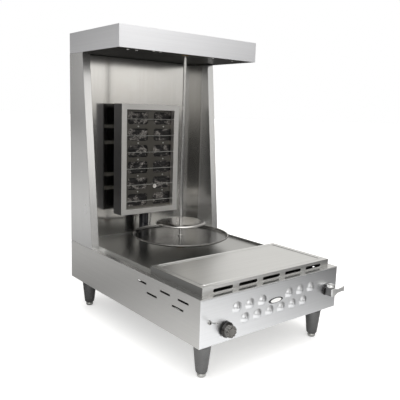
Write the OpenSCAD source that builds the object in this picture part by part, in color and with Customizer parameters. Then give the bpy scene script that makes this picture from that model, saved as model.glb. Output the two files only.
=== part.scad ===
// Vertical rotisserie broiler: a gas radiant heater beside an upright spit,
// on a stainless counter base with a raised front deck and four legs.
// Millimetres, +Z up, origin on the floor at the centre of the whole footprint.
// X counts from the centreline, Z from the floor, and every module counts Y
// from the base's front face, which at_front() then moves to its real place.

/* [Base] */
// Width over the side panels
body_w = 533.4; // [520:0.1:560]
// Depth of the base, front face to rear face
body_d = 711.2; // [705:0.1:740]
// Height of the base box
base_h = 127; // [122:0.1:140]
// Overall height, floor to the top of the canopy
overall_h = 914.4; // [900:0.1:960]
// Thickness of the panel steel
sheet = 1.5; // [1.2:0.1:1.8]

/* [Legs] */
// Height of the legs, floor to the underside of the base
leg_h = 101.6; // [90:0.1:110]
// Leg axis to the side of the base
leg_inset_x = 46; // [42:1:52]
// Leg axis to the front or rear of the base
leg_inset_y = 44; // [40:1:52]
// Diameter of a leg under its flange
leg_top_d = 48; // [44:1:50]
// Diameter of a leg at its lower end
leg_bottom_d = 32; // [30:1:36]
// Diameter of a levelling foot
foot_d = 24; // [22:1:30]
// Height of a levelling foot below its leg
foot_h = 11; // [9:1:18]

/* [Hood] */
// Thickness of each side column
wing_t = 25.4; // [22:0.1:28]
// Front edge of a side column where it stands on the base
wing_front_low = 560; // [545:1:570]
// Front edge of a side column under the canopy
wing_front_high = 622; // [600:1:640]
// Gap between the inner back panel's face and the rear of the base
back_gap = 22; // [18:1:24]
// Height of the canopy
canopy_h = 63.5; // [55:0.5:70]
// Depth of the canopy
canopy_d = 314.2; // [300:0.1:330]

/* [Deck and well] */
// Width of the raised front deck
deck_w = 492.8; // [480:0.1:496]
// Front ledge before the deck
deck_front = 20; // [16:1:24]
// Depth of the deck
deck_d = 230; // [220:1:234]
// Height of the deck over the base top
deck_h = 21.5; // [18:0.5:26]
// Width of the embossed border on the deck
deck_border = 18; // [12:1:24]
// Rim height of the rear well
well_rim_h = 8; // [6:0.5:9]

/* [Spit] */
// Spit axis behind the front face
spit_y = 442; // [436:1:446]
// Spit rod diameter
rod_d = 10; // [9:0.5:11]
// Underside of the drip pan
pan_z = 265; // [262:1:268]
// Outer radius of the drip pan
pan_r = 161; // [152:1:163]
// Rim height of the drip pan
pan_rim_h = 10; // [8:1:12]
// Outer radius of the meat disc
disc_r = 84; // [76:1:88]
// Top of the meat disc
disc_top_z = 320; // [314:1:321]

/* [Heater] */
// Width of the heater
heater_w = 234; // [232:1:240]
// Height of the heater
heater_h = 377; // [366:1:384]
// Depth of the heater housing
heater_d = 52; // [51:0.5:54]
// Front face of the heater behind the front of the base
heater_front = 600; // [598:1:601]
// Underside of the heater
heater_z = 320; // [318:1:330]
// Sideways place of the heater and its post
post_x = -18.7; // [-30:0.1:-18]
// Diameter of the post
post_d = 34; // [32:0.5:36]
// Width of each radiant window
window_w = 80; // [76:1:82]
// Height of each radiant window
window_h = 42; // [38:1:44]

/* [Controls] */
// Burner knob axis from the centreline
knob_x = -181; // [-184:1:-170]
// Burner knob axis above the floor
knob_z = 135.5; // [134:0.5:140]
// Diameter of the knob's skirt
knob_d = 42; // [40:1:48]
// Toggle switch axis from the centreline
toggle_x = -236.6; // [-240:0.1:-232]
// Toggle switch axis above the floor
toggle_z = 165.7; // [160:0.1:172]
// Front cock axis from the centreline
cock_x = 216; // [212:1:218]
// Front cock axis above the floor
cock_z = 163; // [160:1:168]

/* [Hidden] */
$fn = 64;

// Levels and depths worked out from the driving dimensions
base_top = leg_h + base_h;
base_floor = leg_h + sheet;
deck_top = base_top + deck_h;
canopy_z = overall_h - canopy_h;
canopy_front = body_d - canopy_d;
side_x = body_w / 2;
wing_in_x = side_x - wing_t;
back_y = body_d - back_gap;
heater_back = heater_front + heater_d;

// Clearances
eps = 0.1;
fit_gap = 0.06;
play = 0.3;

// Front cock and lever
cock_w = 14.4;
cock_tall = 24;
cock_len = 22;
cock_plate_r = 15;
cock_plate_t = 5;
cock_cap_d = 24.5;
cock_cap_h = 8;
cock_cap_x = 5;
cock_cap_y = 15;
cock_neck_d = 18;
cock_nut_d = 30;
cock_nut_h = 10;
cock_tail_d = 20;
cock_tail_len = 50.5;
lever_t = 5;
lever_len = 50;
lever_root_h = 22;
lever_waist_h = 12;
lever_tip_h = 18;
lever_gap = 0.4;
lever_rise = 5;

// Gas inlet pipe, half inch size, and how far it stands out at the rear
pipe_d = 21.3;
pipe_bore_d = 15.8;
pipe_inner_d = 20;
pipe_end_gap = 1;
inlet_reach = 25;
front_reach = cock_plate_t + cock_len + lever_gap + lever_t;
origin_y = (body_d + inlet_reach - front_reach) / 2;

// Legs and feet
leg_flange_d = 53;
leg_flange_t = 15;
leg_stud_d = 10;
leg_nut_af = 17;
leg_nut_h = 8;
foot_stem_d = 12;
foot_stem_h = 44;

// Side and front vents
slot_h = 5.5;
side_top_slots = [70, 150, 262];
side_top_z = base_top - 25;
side_top_len = 46;
side_low_slots = [93, 212];
side_low_z = base_top - 49;
side_low_len = 50;
deck_slots = 5;
deck_slot_pitch = 88.5;
deck_slot_len = 67;
deck_slot_h = 9;
deck_slot_z = base_top + 8.2;
louvre_r = 14;
louvre_proud = 8;
louvre_ball_r = (louvre_r * louvre_r + louvre_proud * louvre_proud) / (2 * louvre_proud);
louvre_drop = 9;
louvre_pitch = 46;
louvre_high = [for (k = [0:2]) 53 + k * louvre_pitch];
louvre_low = [for (k = [0:2]) 23 + k * louvre_pitch];
louvre_high_z = base_top - 44;
louvre_low_z = base_top - 79;

// Badge plate
badge_w = 56;
badge_h = 16;
badge_t = 1.6;
badge_z = base_top - 53;

// Top frame and well
frame_ledge = 14;
well_x = wing_in_x - 0.3;
well_front = deck_front + deck_d + 4;
well_back = back_y - 0.5;
well_t = 1.2;
rim_z = base_top + well_rim_h;

// Spit drive
hub_d = 16;
hub_flange_d = 44;
hub_flange_t = 2;
hub_top = pan_z + 5;
key_w = 7;
key_depth = 16;
bush_flange_d = 30;
bush_flange_t = 3;
bush_d = 20;
bush_len = 13;
pan_t = 1.2;
disc_t = 1.5;
disc_h = 12;
disc_corner = 8;
disc_screw_z = 6;
disc_hub_d = 22;
rod_top = canopy_z + 24;
bearing_d = 24;
bearing_flange_d = 40;
bearing_z = canopy_z + 4;

// Drive unit under the well
bracket_z = base_top - 32;
bracket_t = 2;
bracket_d = 80;
gearbox_w = 90;
gearbox_d = 90;
gearbox_h = 54;
motor_d = 56;
motor_len = 74;
shaft_low = bracket_z - 26;

// Heater
heater_wall = 1.5;
opening_w = 194;
opening_h = 340;
recess = 18;
face_t = 2;
tile_t = 4.5;
tile_lap = 4;
window_gap = 24;
window_shift = 11;
rows = 6;
row_pitch = opening_h / rows;
face_y = heater_front + heater_wall + recess;
tile_y = face_y + face_t;
block_y = tile_y + tile_t;
heater_mid_z = heater_z + heater_h / 2;
rod_guard_d = 3;
strap_h = 12;
strap_t = 1.5;
strap_drops = [0.21, 0.36, 0.66, 0.79];
chamber_wall = 3;
igniter_x = 30;

// Heater post and swivel
post_y = 640;
post_wall = 2.5;
washer_t = 2.2;
spindle_d = 15;
spindle_h = 62;
sleeve_d = 20;
tube_d = 6;
tube_low_x = post_x + 22;
tube_lean = 8;
tube_low_z = base_top - 24;
tube_nut_d = 13;
tube_nut_h = 9;

// Knob and valve
knob_gap = 4;
knob_skirt_t = 8;
knob_grip_d = 33;
knob_grip_t = 14;
stem_d = 8;
flutes = 12;
valve_w = 34;
valve_d = 48;
valve_h = 32;
valve_neck_d = 24;
valve_boss_d = 26;
valve_boss_len = 14;

// Toggle switch
toggle_tilt = 15;
toggle_len = 26;
toggle_nut_d = 12;
toggle_nut_h = 2.5;
toggle_barrel_d = 8;
toggle_barrel_len = 5;
toggle_bore_d = 6.2;
toggle_case = [16, 28, 28];
toggle_ball_r = 2.4;
toggle_root_d = 3.2;
toggle_tip_d = 5.4;
toggle_pivot = 1.5;

// Moves a piece drawn from the front face to its place about the origin
module at_front() { translate([0, -origin_y, 0]) children(); }

// A box from its lowest corner to its highest corner
module block(low, high) { translate(low) cube(high - low); }

// A pipe along +Z
module pipe(outer_r, inner_r, h) {
    difference() {
        cylinder(r = outer_r, h = h);
        translate([0, 0, -eps]) cylinder(r = inner_r, h = h + 2 * eps);
    }
}

// A round-ended slot cutter along X, deep in Y
module slot_x(len, tall, depth) {
    straight = len - tall;
    translate([-straight / 2, 0, -tall / 2]) cube([straight, depth, tall]);
    for (side = [-1, 1])
        translate([side * straight / 2, 0, 0]) rotate([-90, 0, 0]) cylinder(d = tall, h = depth);
}

// The same slot along Y, deep in X
module slot_y(len, tall, depth) { rotate([0, 0, -90]) slot_x(len, tall, depth); }

// ---------------------------------------------------------------- base

module base_pan() {
    color("silver") at_front() difference() {
        block([sheet - side_x, sheet, leg_h], [side_x - sheet, body_d - sheet, base_floor]);
        for (x = leg_xs(), y = leg_ys())
            translate([x, y, leg_h - eps]) cylinder(d = leg_stud_d + 0.4, h = sheet + 2 * eps);
        for (x = [-150:50:150], y = [150, 250, 540]) translate([x, y, leg_h - 1]) slot_up(26, 7, sheet + 2);
    }
}

// A round-ended slot cutter along Y, deep in Z
module slot_up(len, wide, depth) {
    straight = len - wide;
    translate([-wide / 2, -straight / 2, 0]) cube([wide, straight, depth]);
    for (side = [-1, 1]) translate([0, side * straight / 2, 0]) cylinder(d = wide, h = depth);
}

function leg_xs() = [leg_inset_x - side_x, side_x - leg_inset_x];
function leg_ys() = [leg_inset_y, body_d - leg_inset_y];

// Side wall of the base with five vent slots; side is -1 left, 1 right
module side_panel(side) {
    low_x = side < 0 ? -side_x : side_x - sheet;
    color("silver") at_front() difference() {
        block([low_x, sheet, leg_h], [low_x + sheet, body_d - sheet, base_top - sheet]);
        for (y = side_top_slots)
            translate([low_x - 1, y, side_top_z]) slot_y(side_top_len, slot_h, sheet + 2);
        for (y = side_low_slots)
            translate([low_x - 1, y, side_low_z]) slot_y(side_low_len, slot_h, sheet + 2);
    }
}

module left_side_panel() { side_panel(-1); }
module right_side_panel() { side_panel(1); }

function louvre_places() = concat(
    [for (x = louvre_high, side = [-1, 1]) [side * x, louvre_high_z]],
    [for (x = louvre_low, side = [-1, 1]) [side * x, louvre_low_z]]);

// Half of a domed air louvre, open at its lower edge
module louvre_dome(radius, back) {
    intersection() {
        translate([0, louvre_ball_r - louvre_proud, 0]) sphere(r = radius);
        block([-louvre_r - 2, -louvre_proud - 1, -louvre_drop], [louvre_r + 2, back, louvre_r + 2]);
    }
}

module front_panel() {
    color("gainsboro") at_front() difference() {
        union() {
            block([-side_x, 0, leg_h], [side_x, sheet, base_top - sheet]);
            for (place = louvre_places())
                translate([place[0], 0, place[1]]) louvre_dome(louvre_ball_r, sheet / 2);
        }
        for (place = louvre_places())
            translate([place[0], 0, place[1] - eps]) louvre_dome(louvre_ball_r - sheet, sheet + 1);
        translate([knob_x, -1, knob_z]) rotate([-90, 0, 0]) cylinder(d = stem_d + 3, h = sheet + 2);
        translate([toggle_x, -1, toggle_z]) rotate([-90, 0, 0])
            cylinder(d = toggle_barrel_d + 0.4, h = sheet + 2);
        translate([cock_x, -1, cock_z]) rotate([-90, 0, 0]) cylinder(d = cock_neck_d + 2, h = sheet + 2);
    }
}

module rear_panel() {
    color("silver") at_front() difference() {
        block([-side_x, body_d - sheet, leg_h], [side_x, body_d, base_top - sheet]);
        for (x = [-40:40:200], z = [leg_h + 45, leg_h + 75])
            translate([x, body_d - sheet - 1, z]) slot_x(30, slot_h, sheet + 2);
        translate([knob_x, body_d - sheet - 1, knob_z]) rotate([-90, 0, 0])
            cylinder(d = pipe_d + 1, h = sheet + 2);
    }
}

// Ledge round the deck and the well
module top_frame() {
    color("silver") at_front() difference() {
        block([-side_x, 0, base_top - sheet], [side_x, body_d, base_top]);
        block([frame_ledge - deck_w / 2, deck_front + frame_ledge, base_top - sheet - 1],
              [deck_w / 2 - frame_ledge, deck_front + deck_d - frame_ledge, base_top + 1]);
        block([frame_ledge - well_x, well_front + frame_ledge, base_top - sheet - 1],
              [well_x - frame_ledge, well_back - frame_ledge, base_top + 1]);
    }
}

// Shallow tray behind the deck, with a low rim
module rear_well() {
    color("gray") at_front() difference() {
        block([-well_x, well_front, base_top], [well_x, well_back, rim_z]);
        block([well_t - well_x, well_front + well_t, base_top + well_t],
              [well_x - well_t, well_back - well_t, rim_z + 1]);
        translate([0, spit_y, base_top - 1]) cylinder(d = bush_d, h = well_t + 2);
        translate([post_x, post_y, base_top - 1]) cylinder(d = post_d + 3, h = well_t + 2);
        translate([tube_low_x, post_y, base_top - 1]) {
            block([-tube_d / 2 - 2, -6, 0], [tube_d / 2 + 2, 6, well_t + 2]);
            for (side = [-1, 1]) translate([0, side * 6, 0]) cylinder(d = tube_d + 4, h = well_t + 2);
        }
    }
}

// ---------------------------------------------------------------- legs

module leg(x, y) {
    color("dimgray") at_front() translate([x, y, 0]) difference() {
        union() {
            translate([0, 0, foot_h + 1]) cylinder(d1 = leg_bottom_d, d2 = leg_top_d,
                                                   h = leg_h - leg_flange_t - foot_h - 1);
            translate([0, 0, leg_h - leg_flange_t]) cylinder(d = leg_flange_d, h = leg_flange_t);
            translate([0, 0, leg_h - eps]) cylinder(d = leg_stud_d, h = sheet + leg_nut_h + 4);
        }
        translate([0, 0, foot_h]) cylinder(d = foot_stem_d + 2 * fit_gap, h = foot_stem_h + 6);
    }
}

module leg_front_left() { leg(leg_xs()[0], leg_ys()[0]); }
module leg_front_right() { leg(leg_xs()[1], leg_ys()[0]); }
module leg_rear_left() { leg(leg_xs()[0], leg_ys()[1]); }
module leg_rear_right() { leg(leg_xs()[1], leg_ys()[1]); }

// Screw foot: a round pad, a cone and the stem inside the leg
module foot(x, y) {
    pad_h = foot_h * 0.55;
    color("silver") at_front() translate([x, y, 0]) {
        cylinder(d = foot_d, h = pad_h);
        translate([0, 0, pad_h]) cylinder(d1 = foot_d, d2 = foot_stem_d + 6, h = foot_h - pad_h);
        translate([0, 0, foot_h - eps]) cylinder(d = foot_stem_d, h = foot_stem_h);
    }
}

module foot_front_left() { foot(leg_xs()[0], leg_ys()[0]); }
module foot_front_right() { foot(leg_xs()[1], leg_ys()[0]); }
module foot_rear_left() { foot(leg_xs()[0], leg_ys()[1]); }
module foot_rear_right() { foot(leg_xs()[1], leg_ys()[1]); }

module leg_nuts() {
    color("silver") at_front() for (x = leg_xs(), y = leg_ys())
        translate([x, y, base_floor]) difference() {
            cylinder(d = leg_nut_af / cos(30), h = leg_nut_h, $fn = 6);
            translate([0, 0, -eps]) cylinder(d = leg_stud_d + 2 * fit_gap, h = leg_nut_h + 2 * eps);
        }
}

// ---------------------------------------------------------------- hood

// Side outline of a column, set in by a wall thickness, in (Y, Z)
function column_outline(inset) =
    let (slope = (wing_front_high - wing_front_low) / (canopy_z - base_top),
         front_in = inset * sqrt(1 + slope * slope))
    [[body_d - inset, base_top - (inset > 0 ? 1 : 0)],
     [wing_front_low + front_in, base_top - (inset > 0 ? 1 : 0)],
     [wing_front_high + front_in - inset * slope, canopy_z - inset],
     [body_d - inset, canopy_z - inset]];

// Hollow tapered column; side is -1 left, 1 right
module column(side) {
    low_x = side < 0 ? -side_x : wing_in_x;
    color("lightgray") at_front() translate([low_x, 0, 0]) difference() {
        rotate([90, 0, 90]) linear_extrude(height = wing_t) polygon(column_outline(0));
        translate([sheet, 0, 0]) rotate([90, 0, 90])
            linear_extrude(height = wing_t - 2 * sheet) polygon(column_outline(sheet));
    }
}

module left_column() { column(-1); }
module right_column() { column(1); }

// Inner back sheet with a flange folded forward along each column
module back_panel() {
    flange = 38;
    color("gray") at_front() {
        block([-wing_in_x, back_y, base_top], [wing_in_x, back_y + sheet, canopy_z]);
        for (low_x = [-wing_in_x, wing_in_x - sheet])
            block([low_x, back_y - flange, rim_z + 1], [low_x + sheet, back_y + sheet / 2, canopy_z]);
    }
}

module rear_cover() {
    color("silver") at_front() difference() {
        block([-wing_in_x, body_d - sheet, base_top], [wing_in_x, body_d, canopy_z]);
        for (x = [-150:75:150], z = [base_top + 90:30:base_top + 180])
            translate([x, body_d - sheet - 1, z]) slot_x(50, slot_h, sheet + 2);
        for (place = cover_screw_places())
            translate([place[0], body_d - sheet - 1, place[1]]) rotate([-90, 0, 0])
                cylinder(d = 4.4, h = sheet + 2);
    }
}

function cover_screw_places() =
    [for (x = [-1, 0, 1], z = [base_top + 20, canopy_z - 20]) [x * (wing_in_x - 16), z]];

// Pan-head screws through the rear cover
module rear_cover_screws() {
    color("silver") at_front() for (place = cover_screw_places())
        translate([place[0], body_d, place[1]]) {
            rotate([-90, 0, 0]) cylinder(d = 8, h = 2.2);
            rotate([90, 0, 0]) cylinder(d = 4, h = 10);
        }
}

module canopy_shell() {
    color("whitesmoke") at_front() difference() {
        block([-side_x, canopy_front, canopy_z], [side_x, body_d, overall_h]);
        block([sheet - side_x, canopy_front + sheet, canopy_z - 1],
              [side_x - sheet, body_d - sheet, overall_h - sheet]);
    }
}

// Closing sheet a few millimetres up inside the canopy
module canopy_liner() {
    color("dimgray") at_front() difference() {
        block([sheet - side_x, canopy_front + sheet, bearing_z - sheet],
              [side_x - sheet, body_d - sheet, bearing_z]);
        translate([0, spit_y, bearing_z - sheet - 1]) cylinder(d = bearing_d + 0.4, h = sheet + 2);
    }
}

module bearing_plate() {
    color("silver") at_front() difference() {
        block([-60, spit_y - 36, bearing_z], [60, spit_y + 36, bearing_z + 3]);
        translate([0, spit_y, bearing_z - 1]) cylinder(d = bearing_d + 0.4, h = 5);
    }
}

module top_bearing() {
    color("peru") at_front() translate([0, spit_y, bearing_z - 3]) {
        pipe(bearing_d / 2, rod_d / 2 + fit_gap, 14);
        translate([0, 0, 6]) pipe(bearing_flange_d / 2, bearing_d / 2, 4);
    }
}

// ---------------------------------------------------------------- spit and drive

module shaft_bush() {
    color("peru") at_front() translate([0, spit_y, base_top + well_t]) {
        pipe(bush_flange_d / 2, rod_d / 2 + fit_gap, bush_flange_t);
        translate([0, 0, -bush_len]) pipe(bush_d / 2 - 0.05, rod_d / 2 + fit_gap, bush_len);
    }
}

// Cross channel between the side panels that carries the drive unit
module motor_bracket() {
    half = side_x - sheet;
    color("silver") at_front() difference() {
        union() {
            block([-half, spit_y - bracket_d / 2, bracket_z],
                  [half, spit_y + bracket_d / 2, bracket_z + bracket_t]);
            for (side = [-1, 1]) translate([side * (half - bracket_t / 2), spit_y, bracket_z + 12])
                cube([bracket_t, bracket_d, 24], center = true);
        }
        translate([0, spit_y, bracket_z - 1]) cylinder(d = bush_d + 4, h = bracket_t + 2);
    }
}

module gearbox() {
    color("slategray") at_front() translate([0, spit_y, 0]) difference() {
        block([-gearbox_w / 2, -gearbox_d / 2, bracket_z - gearbox_h],
              [gearbox_w / 2, gearbox_d / 2, bracket_z]);
        translate([0, 0, shaft_low - 1]) cylinder(d = rod_d + 2 * fit_gap, h = bracket_z - shaft_low + 2);
    }
}

module motor() {
    axis_z = bracket_z - gearbox_h / 2 - 1;
    color("dimgray") at_front() translate([gearbox_w / 2, spit_y, axis_z]) rotate([0, 90, 0]) {
        cylinder(d = motor_d - 6, h = motor_len);
        translate([0, 0, 10]) cylinder(d = motor_d - 4, h = motor_len - 20);
        translate([0, 0, motor_len]) cylinder(d = motor_d - 20, h = 5);
    }
}

// Output shaft with the hub that carries the pan and drives the spit
module drive_shaft() {
    color("silver") at_front() translate([0, spit_y, 0]) difference() {
        union() {
            translate([0, 0, shaft_low]) cylinder(d = rod_d, h = pan_z - shaft_low);
            translate([0, 0, pan_z - 20]) cylinder(d = hub_d, h = hub_top - pan_z + 20);
            translate([0, 0, pan_z - hub_flange_t]) cylinder(d = hub_flange_d, h = hub_flange_t);
        }
        block([-key_w / 2 - play / 2, -key_w / 2 - play / 2, hub_top - key_depth - play],
              [key_w / 2 + play / 2, key_w / 2 + play / 2, hub_top + 1]);
    }
}

// Round drip pan with a sloping rim and a rolled lip
module drip_pan() {
    lip_r = 1.6;
    lip_x = pan_r - lip_r;
    foot_x = pan_r - 8;
    color("gray") at_front() translate([0, spit_y, pan_z]) rotate_extrude($fn = 96) {
        polygon([[hub_d / 2 + play, 0], [foot_x, 0], [lip_x + pan_t / 2, pan_rim_h - lip_r],
                 [lip_x - pan_t / 2, pan_rim_h - lip_r], [foot_x - pan_t / 2, pan_t],
                 [hub_d / 2 + play, pan_t]]);
        translate([lip_x, pan_rim_h - lip_r]) circle(r = lip_r, $fn = 24);
    }
}

module spit_rod() {
    color("silver") at_front() translate([0, spit_y, 0]) {
        block([-key_w / 2, -key_w / 2, hub_top - key_depth], [key_w / 2, key_w / 2, hub_top + 1]);
        translate([0, 0, hub_top]) cylinder(d = rod_d, h = rod_top - hub_top - 6);
        translate([0, 0, rod_top - 6]) cylinder(d1 = rod_d, d2 = rod_d - 5, h = 6);
    }
}

// Half outline of the meat disc, set in by its wall, in (radius, height over the lip)
module disc_outline(inset) {
    flat_r = disc_r - disc_corner;
    lip_r = disc_r - 4;
    shoulder = disc_h - disc_corner;
    translate([0, shoulder - (inset > 0 ? 0.01 : 0)]) square([flat_r, disc_corner - inset]);
    intersection() {
        translate([flat_r, shoulder]) circle(r = disc_corner - inset);
        translate([flat_r, shoulder]) square(disc_corner);
    }
    polygon([[0, -inset], [lip_r - inset, -inset], [disc_r - inset, shoulder], [0, shoulder]]);
}

module meat_disc() {
    lip_z = disc_top_z - disc_h;
    color("silver") at_front() translate([0, spit_y, lip_z]) difference() {
        union() {
            rotate_extrude($fn = 96) difference() {
                disc_outline(0);
                disc_outline(disc_t);
            }
            translate([0, 0, 2]) cylinder(d = disc_hub_d, h = disc_h - disc_t - 1.9);
        }
        translate([0, 0, -1]) cylinder(d = rod_d + 2 * fit_gap, h = disc_h + 2);
        translate([0, 0, disc_screw_z]) rotate([0, 90, 0]) cylinder(d = 5.2, h = disc_hub_d);
    }
}

// Thumb screw in the disc's hub
module disc_screw() {
    start = rod_d / 2 + play;
    color("silver") at_front() translate([start, spit_y, disc_top_z - disc_h + disc_screw_z])
        rotate([0, 90, 0]) {
            cylinder(d = 5, h = 10);
            translate([0, 0, 10]) cylinder(d = 8, h = 5);
        }
}

// ---------------------------------------------------------------- heater

module post_socket() {
    color("silver") at_front() translate([post_x, post_y, base_floor]) {
        pipe(38, post_d / 2 + fit_gap, 4);
        translate([0, 0, 4]) pipe(post_d / 2 + 5, post_d / 2 + fit_gap, 30);
    }
}

// Tube from the base pan to the heater, with a turned spindle on top
module heater_post() {
    top = heater_z - washer_t - play;
    color("black") at_front() translate([post_x, post_y, 0]) {
        translate([0, 0, base_floor]) pipe(post_d / 2, post_d / 2 - post_wall, top - base_floor - 8);
        translate([0, 0, top - 8]) cylinder(d = post_d, h = 8);
        translate([0, 0, top]) cylinder(d = spindle_d - 2 * fit_gap, h = spindle_h);
    }
}

module thrust_washer() {
    color("peru") at_front() translate([post_x, post_y, heater_z - washer_t - play])
        pipe(post_d / 2 - 1, spindle_d / 2, washer_t);
}

module pivot_sleeve() {
    floor_z = heater_z + heater_wall;
    sleeve_h = spindle_h + 4;
    color("silver") at_front() translate([post_x, post_y, floor_z]) difference() {
        union() {
            cylinder(d = sleeve_d, h = sleeve_h);
            block([-30, -sleeve_d / 2, 0], [30, sleeve_d / 2, 4]);
        }
        translate([0, 0, -eps]) cylinder(d = spindle_d, h = sleeve_h - 3);
    }
}

// Four walls of the heater with a rim round the open back
module heater_housing() {
    half = heater_w / 2;
    rim = 14;
    front = heater_front + heater_wall;
    color("silver") at_front() translate([post_x, 0, 0]) difference() {
        block([-half, front, heater_z], [half, heater_back, heater_z + heater_h]);
        block([heater_wall - half, front - 1, heater_z + heater_wall],
              [half - heater_wall, heater_back - heater_wall, heater_z + heater_h - heater_wall]);
        block([rim - half, front - 1, heater_z + rim], [half - rim, heater_back + 1, heater_z + heater_h - rim]);
        translate([0, post_y, heater_z - 1]) cylinder(d = spindle_d + 1, h = heater_wall + 2);
    }
}

// Front border with walls that run back to the burner face
module heater_frame() {
    half = heater_w / 2;
    color("whitesmoke") at_front() translate([post_x, 0, heater_mid_z]) difference() {
        union() {
            block([-half, heater_front, -heater_h / 2], [half, heater_front + heater_wall, heater_h / 2]);
            block([-opening_w / 2 - heater_wall, heater_front, -opening_h / 2 - heater_wall],
                  [opening_w / 2 + heater_wall, face_y, opening_h / 2 + heater_wall]);
        }
        block([-opening_w / 2, heater_front - 1, -opening_h / 2], [opening_w / 2, face_y + 1, opening_h / 2]);
    }
}

function window_places() =
    [for (col = [-1, 1], row = [0:rows - 1])
        [window_shift + col * (window_w + window_gap) / 2, (row + 0.5) * row_pitch - opening_h / 2]];

// Rounded window cutter, deep in Y
module window(depth) {
    corner = 9;
    block([-window_w / 2, 0, corner - window_h / 2], [window_w / 2, depth, window_h / 2 - corner]);
    block([corner - window_w / 2, 0, -window_h / 2], [window_w / 2 - corner, depth, window_h / 2]);
    for (x = [-1, 1], z = [-1, 1])
        translate([x * (window_w / 2 - corner), 0, z * (window_h / 2 - corner)])
            rotate([-90, 0, 0]) cylinder(r = corner, h = depth);
}

module burner_face() {
    half = heater_w / 2 - heater_wall;
    tall = heater_h / 2 - heater_wall;
    color("darkgray") at_front() translate([post_x, face_y, heater_mid_z]) difference() {
        block([-half, 0, -tall], [half, face_t, tall]);
        for (place = window_places()) translate([place[0], -1, place[1]]) window(face_t + 2);
    }
}

// Screw heads between the rows of windows
module burner_screws() {
    color("silver") at_front() translate([post_x, face_y, heater_mid_z])
        for (col = [-1, 1], row = [1:rows - 1])
            translate([window_shift + col * (window_w + window_gap) / 2, 0, row * row_pitch - opening_h / 2])
                rotate([90, 0, 0]) cylinder(d = 5, h = 1.6);
}

module radiant_tiles() {
    color("black") at_front() translate([post_x, tile_y, heater_mid_z])
        for (place = window_places()) translate([place[0], 0, place[1]])
            block([-window_w / 2 - tile_lap, 0, -window_h / 2 - tile_lap],
                  [window_w / 2 + tile_lap, tile_t, window_h / 2 + tile_lap]);
}

// Room over the pivot sleeve that the gas chamber leaves free, grown by a margin
module sleeve_notch(grow) {
    block([-33 - grow, block_y - 1, heater_z], [33 + grow, heater_back, heater_z + spindle_h + 14 + grow]);
}

// Hollow gas chamber behind the tiles, notched over the pivot sleeve
module burner_body() {
    half = heater_w / 2 - 8;
    tall = heater_h / 2 - 6;
    wall = [chamber_wall, chamber_wall, chamber_wall];
    low = [-half, block_y, heater_mid_z - tall];
    high = [half, heater_back - 5, heater_mid_z + tall];
    color("black") at_front() translate([post_x, 0, 0]) difference() {
        block(low, high);
        sleeve_notch(0);
        difference() {
            block(low + wall, high - wall);
            sleeve_notch(chamber_wall);
        }
    }
}

// Round wires across the opening, one to a row
module guard_rods() {
    color("silver") at_front() translate([post_x, heater_front + 7, heater_mid_z])
        for (row = [0:rows - 1])
            translate([-opening_w / 2, 0, (row + 0.45) * row_pitch - opening_h / 2])
                rotate([0, 90, 0]) cylinder(d = rod_guard_d, h = opening_w);
}

module igniter() {
    low_row_z = heater_mid_z - opening_h / 2 + 1.28 * row_pitch;
    color("ivory") at_front() translate([post_x + igniter_x, face_y, low_row_z]) rotate([90, 0, 0]) {
        cylinder(d = 14, h = 2);
        translate([0, 0, 2]) cylinder(d = 7, h = 5);
        translate([0, 0, 7]) cylinder(d = 3, h = 4);
    }
}

// Flat bars across the heater's open back
module rear_straps() {
    half = heater_w / 2 - 4;
    color("silver") at_front() translate([post_x, heater_back, heater_z + heater_h])
        for (drop = strap_drops) translate([0, 0, -drop * heater_h])
            block([-half, 0, -strap_h / 2], [half, strap_t, strap_h / 2]);
}

// Thin tube that leans from the well up to a hexagon fitting under the heater
module burner_tube() {
    lean_h = heater_z - tube_nut_h / 2 - tube_low_z;
    color("silver") at_front() {
        translate([tube_low_x, post_y, tube_low_z]) rotate([0, atan(tube_lean / lean_h), 0])
            cylinder(d = tube_d, h = lean_h);
        translate([tube_low_x + tube_lean, post_y, heater_z - tube_nut_h])
            cylinder(d = tube_nut_d, h = tube_nut_h, $fn = 6);
    }
}

// ---------------------------------------------------------------- deck

module deck_plate() {
    half = deck_w / 2;
    back = deck_front + deck_d;
    color("lightgray") at_front() difference() {
        block([-half, deck_front, base_top], [half, back, deck_top]);
        block([sheet - half, deck_front + sheet, base_top - 1], [half - sheet, back - sheet, deck_top - sheet]);
        block([deck_border - half, deck_front + deck_border, deck_top - 0.7],
              [half - deck_border, back - deck_border, deck_top + 1]);
        for (k = [0:deck_slots - 1])
            translate([(k - (deck_slots - 1) / 2) * deck_slot_pitch, deck_front - 1, deck_slot_z])
                slot_x(deck_slot_len, deck_slot_h, sheet + 2);
    }
}

// Pipe burner that warms the deck, fed from the front cock
module deck_burner() {
    burner_y = deck_front + deck_d / 2;
    cock_end = sheet + cock_nut_h + cock_tail_len;
    color("dimgray") at_front() difference() {
        union() {
            translate([-200, burner_y, cock_z]) rotate([0, 90, 0]) cylinder(d = 25, h = 200 + cock_x);
            translate([cock_x, cock_end, cock_z]) rotate([-90, 0, 0]) cylinder(d = 16, h = burner_y - cock_end);
            translate([cock_x, burner_y, cock_z]) sphere(d = 25);
        }
        for (x = [-180:24:180]) translate([x, burner_y, cock_z + 4]) cylinder(d = 3, h = 12, $fn = 16);
    }
}

// ---------------------------------------------------------------- gas valve and knob

module gas_valve() {
    color("goldenrod") at_front() translate([knob_x, 0, knob_z]) difference() {
        union() {
            block([-valve_w / 2, sheet + 4, -valve_h / 2], [valve_w / 2, valve_d, valve_h / 2]);
            translate([0, sheet, 0]) rotate([-90, 0, 0]) cylinder(d = valve_neck_d, h = 5);
            translate([0, valve_d, 0]) rotate([-90, 0, 0]) cylinder(d = valve_boss_d, h = valve_boss_len);
        }
        translate([0, -1, 0]) rotate([-90, 0, 0]) cylinder(d = stem_d + 2 * fit_gap, h = 38);
    }
}

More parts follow.
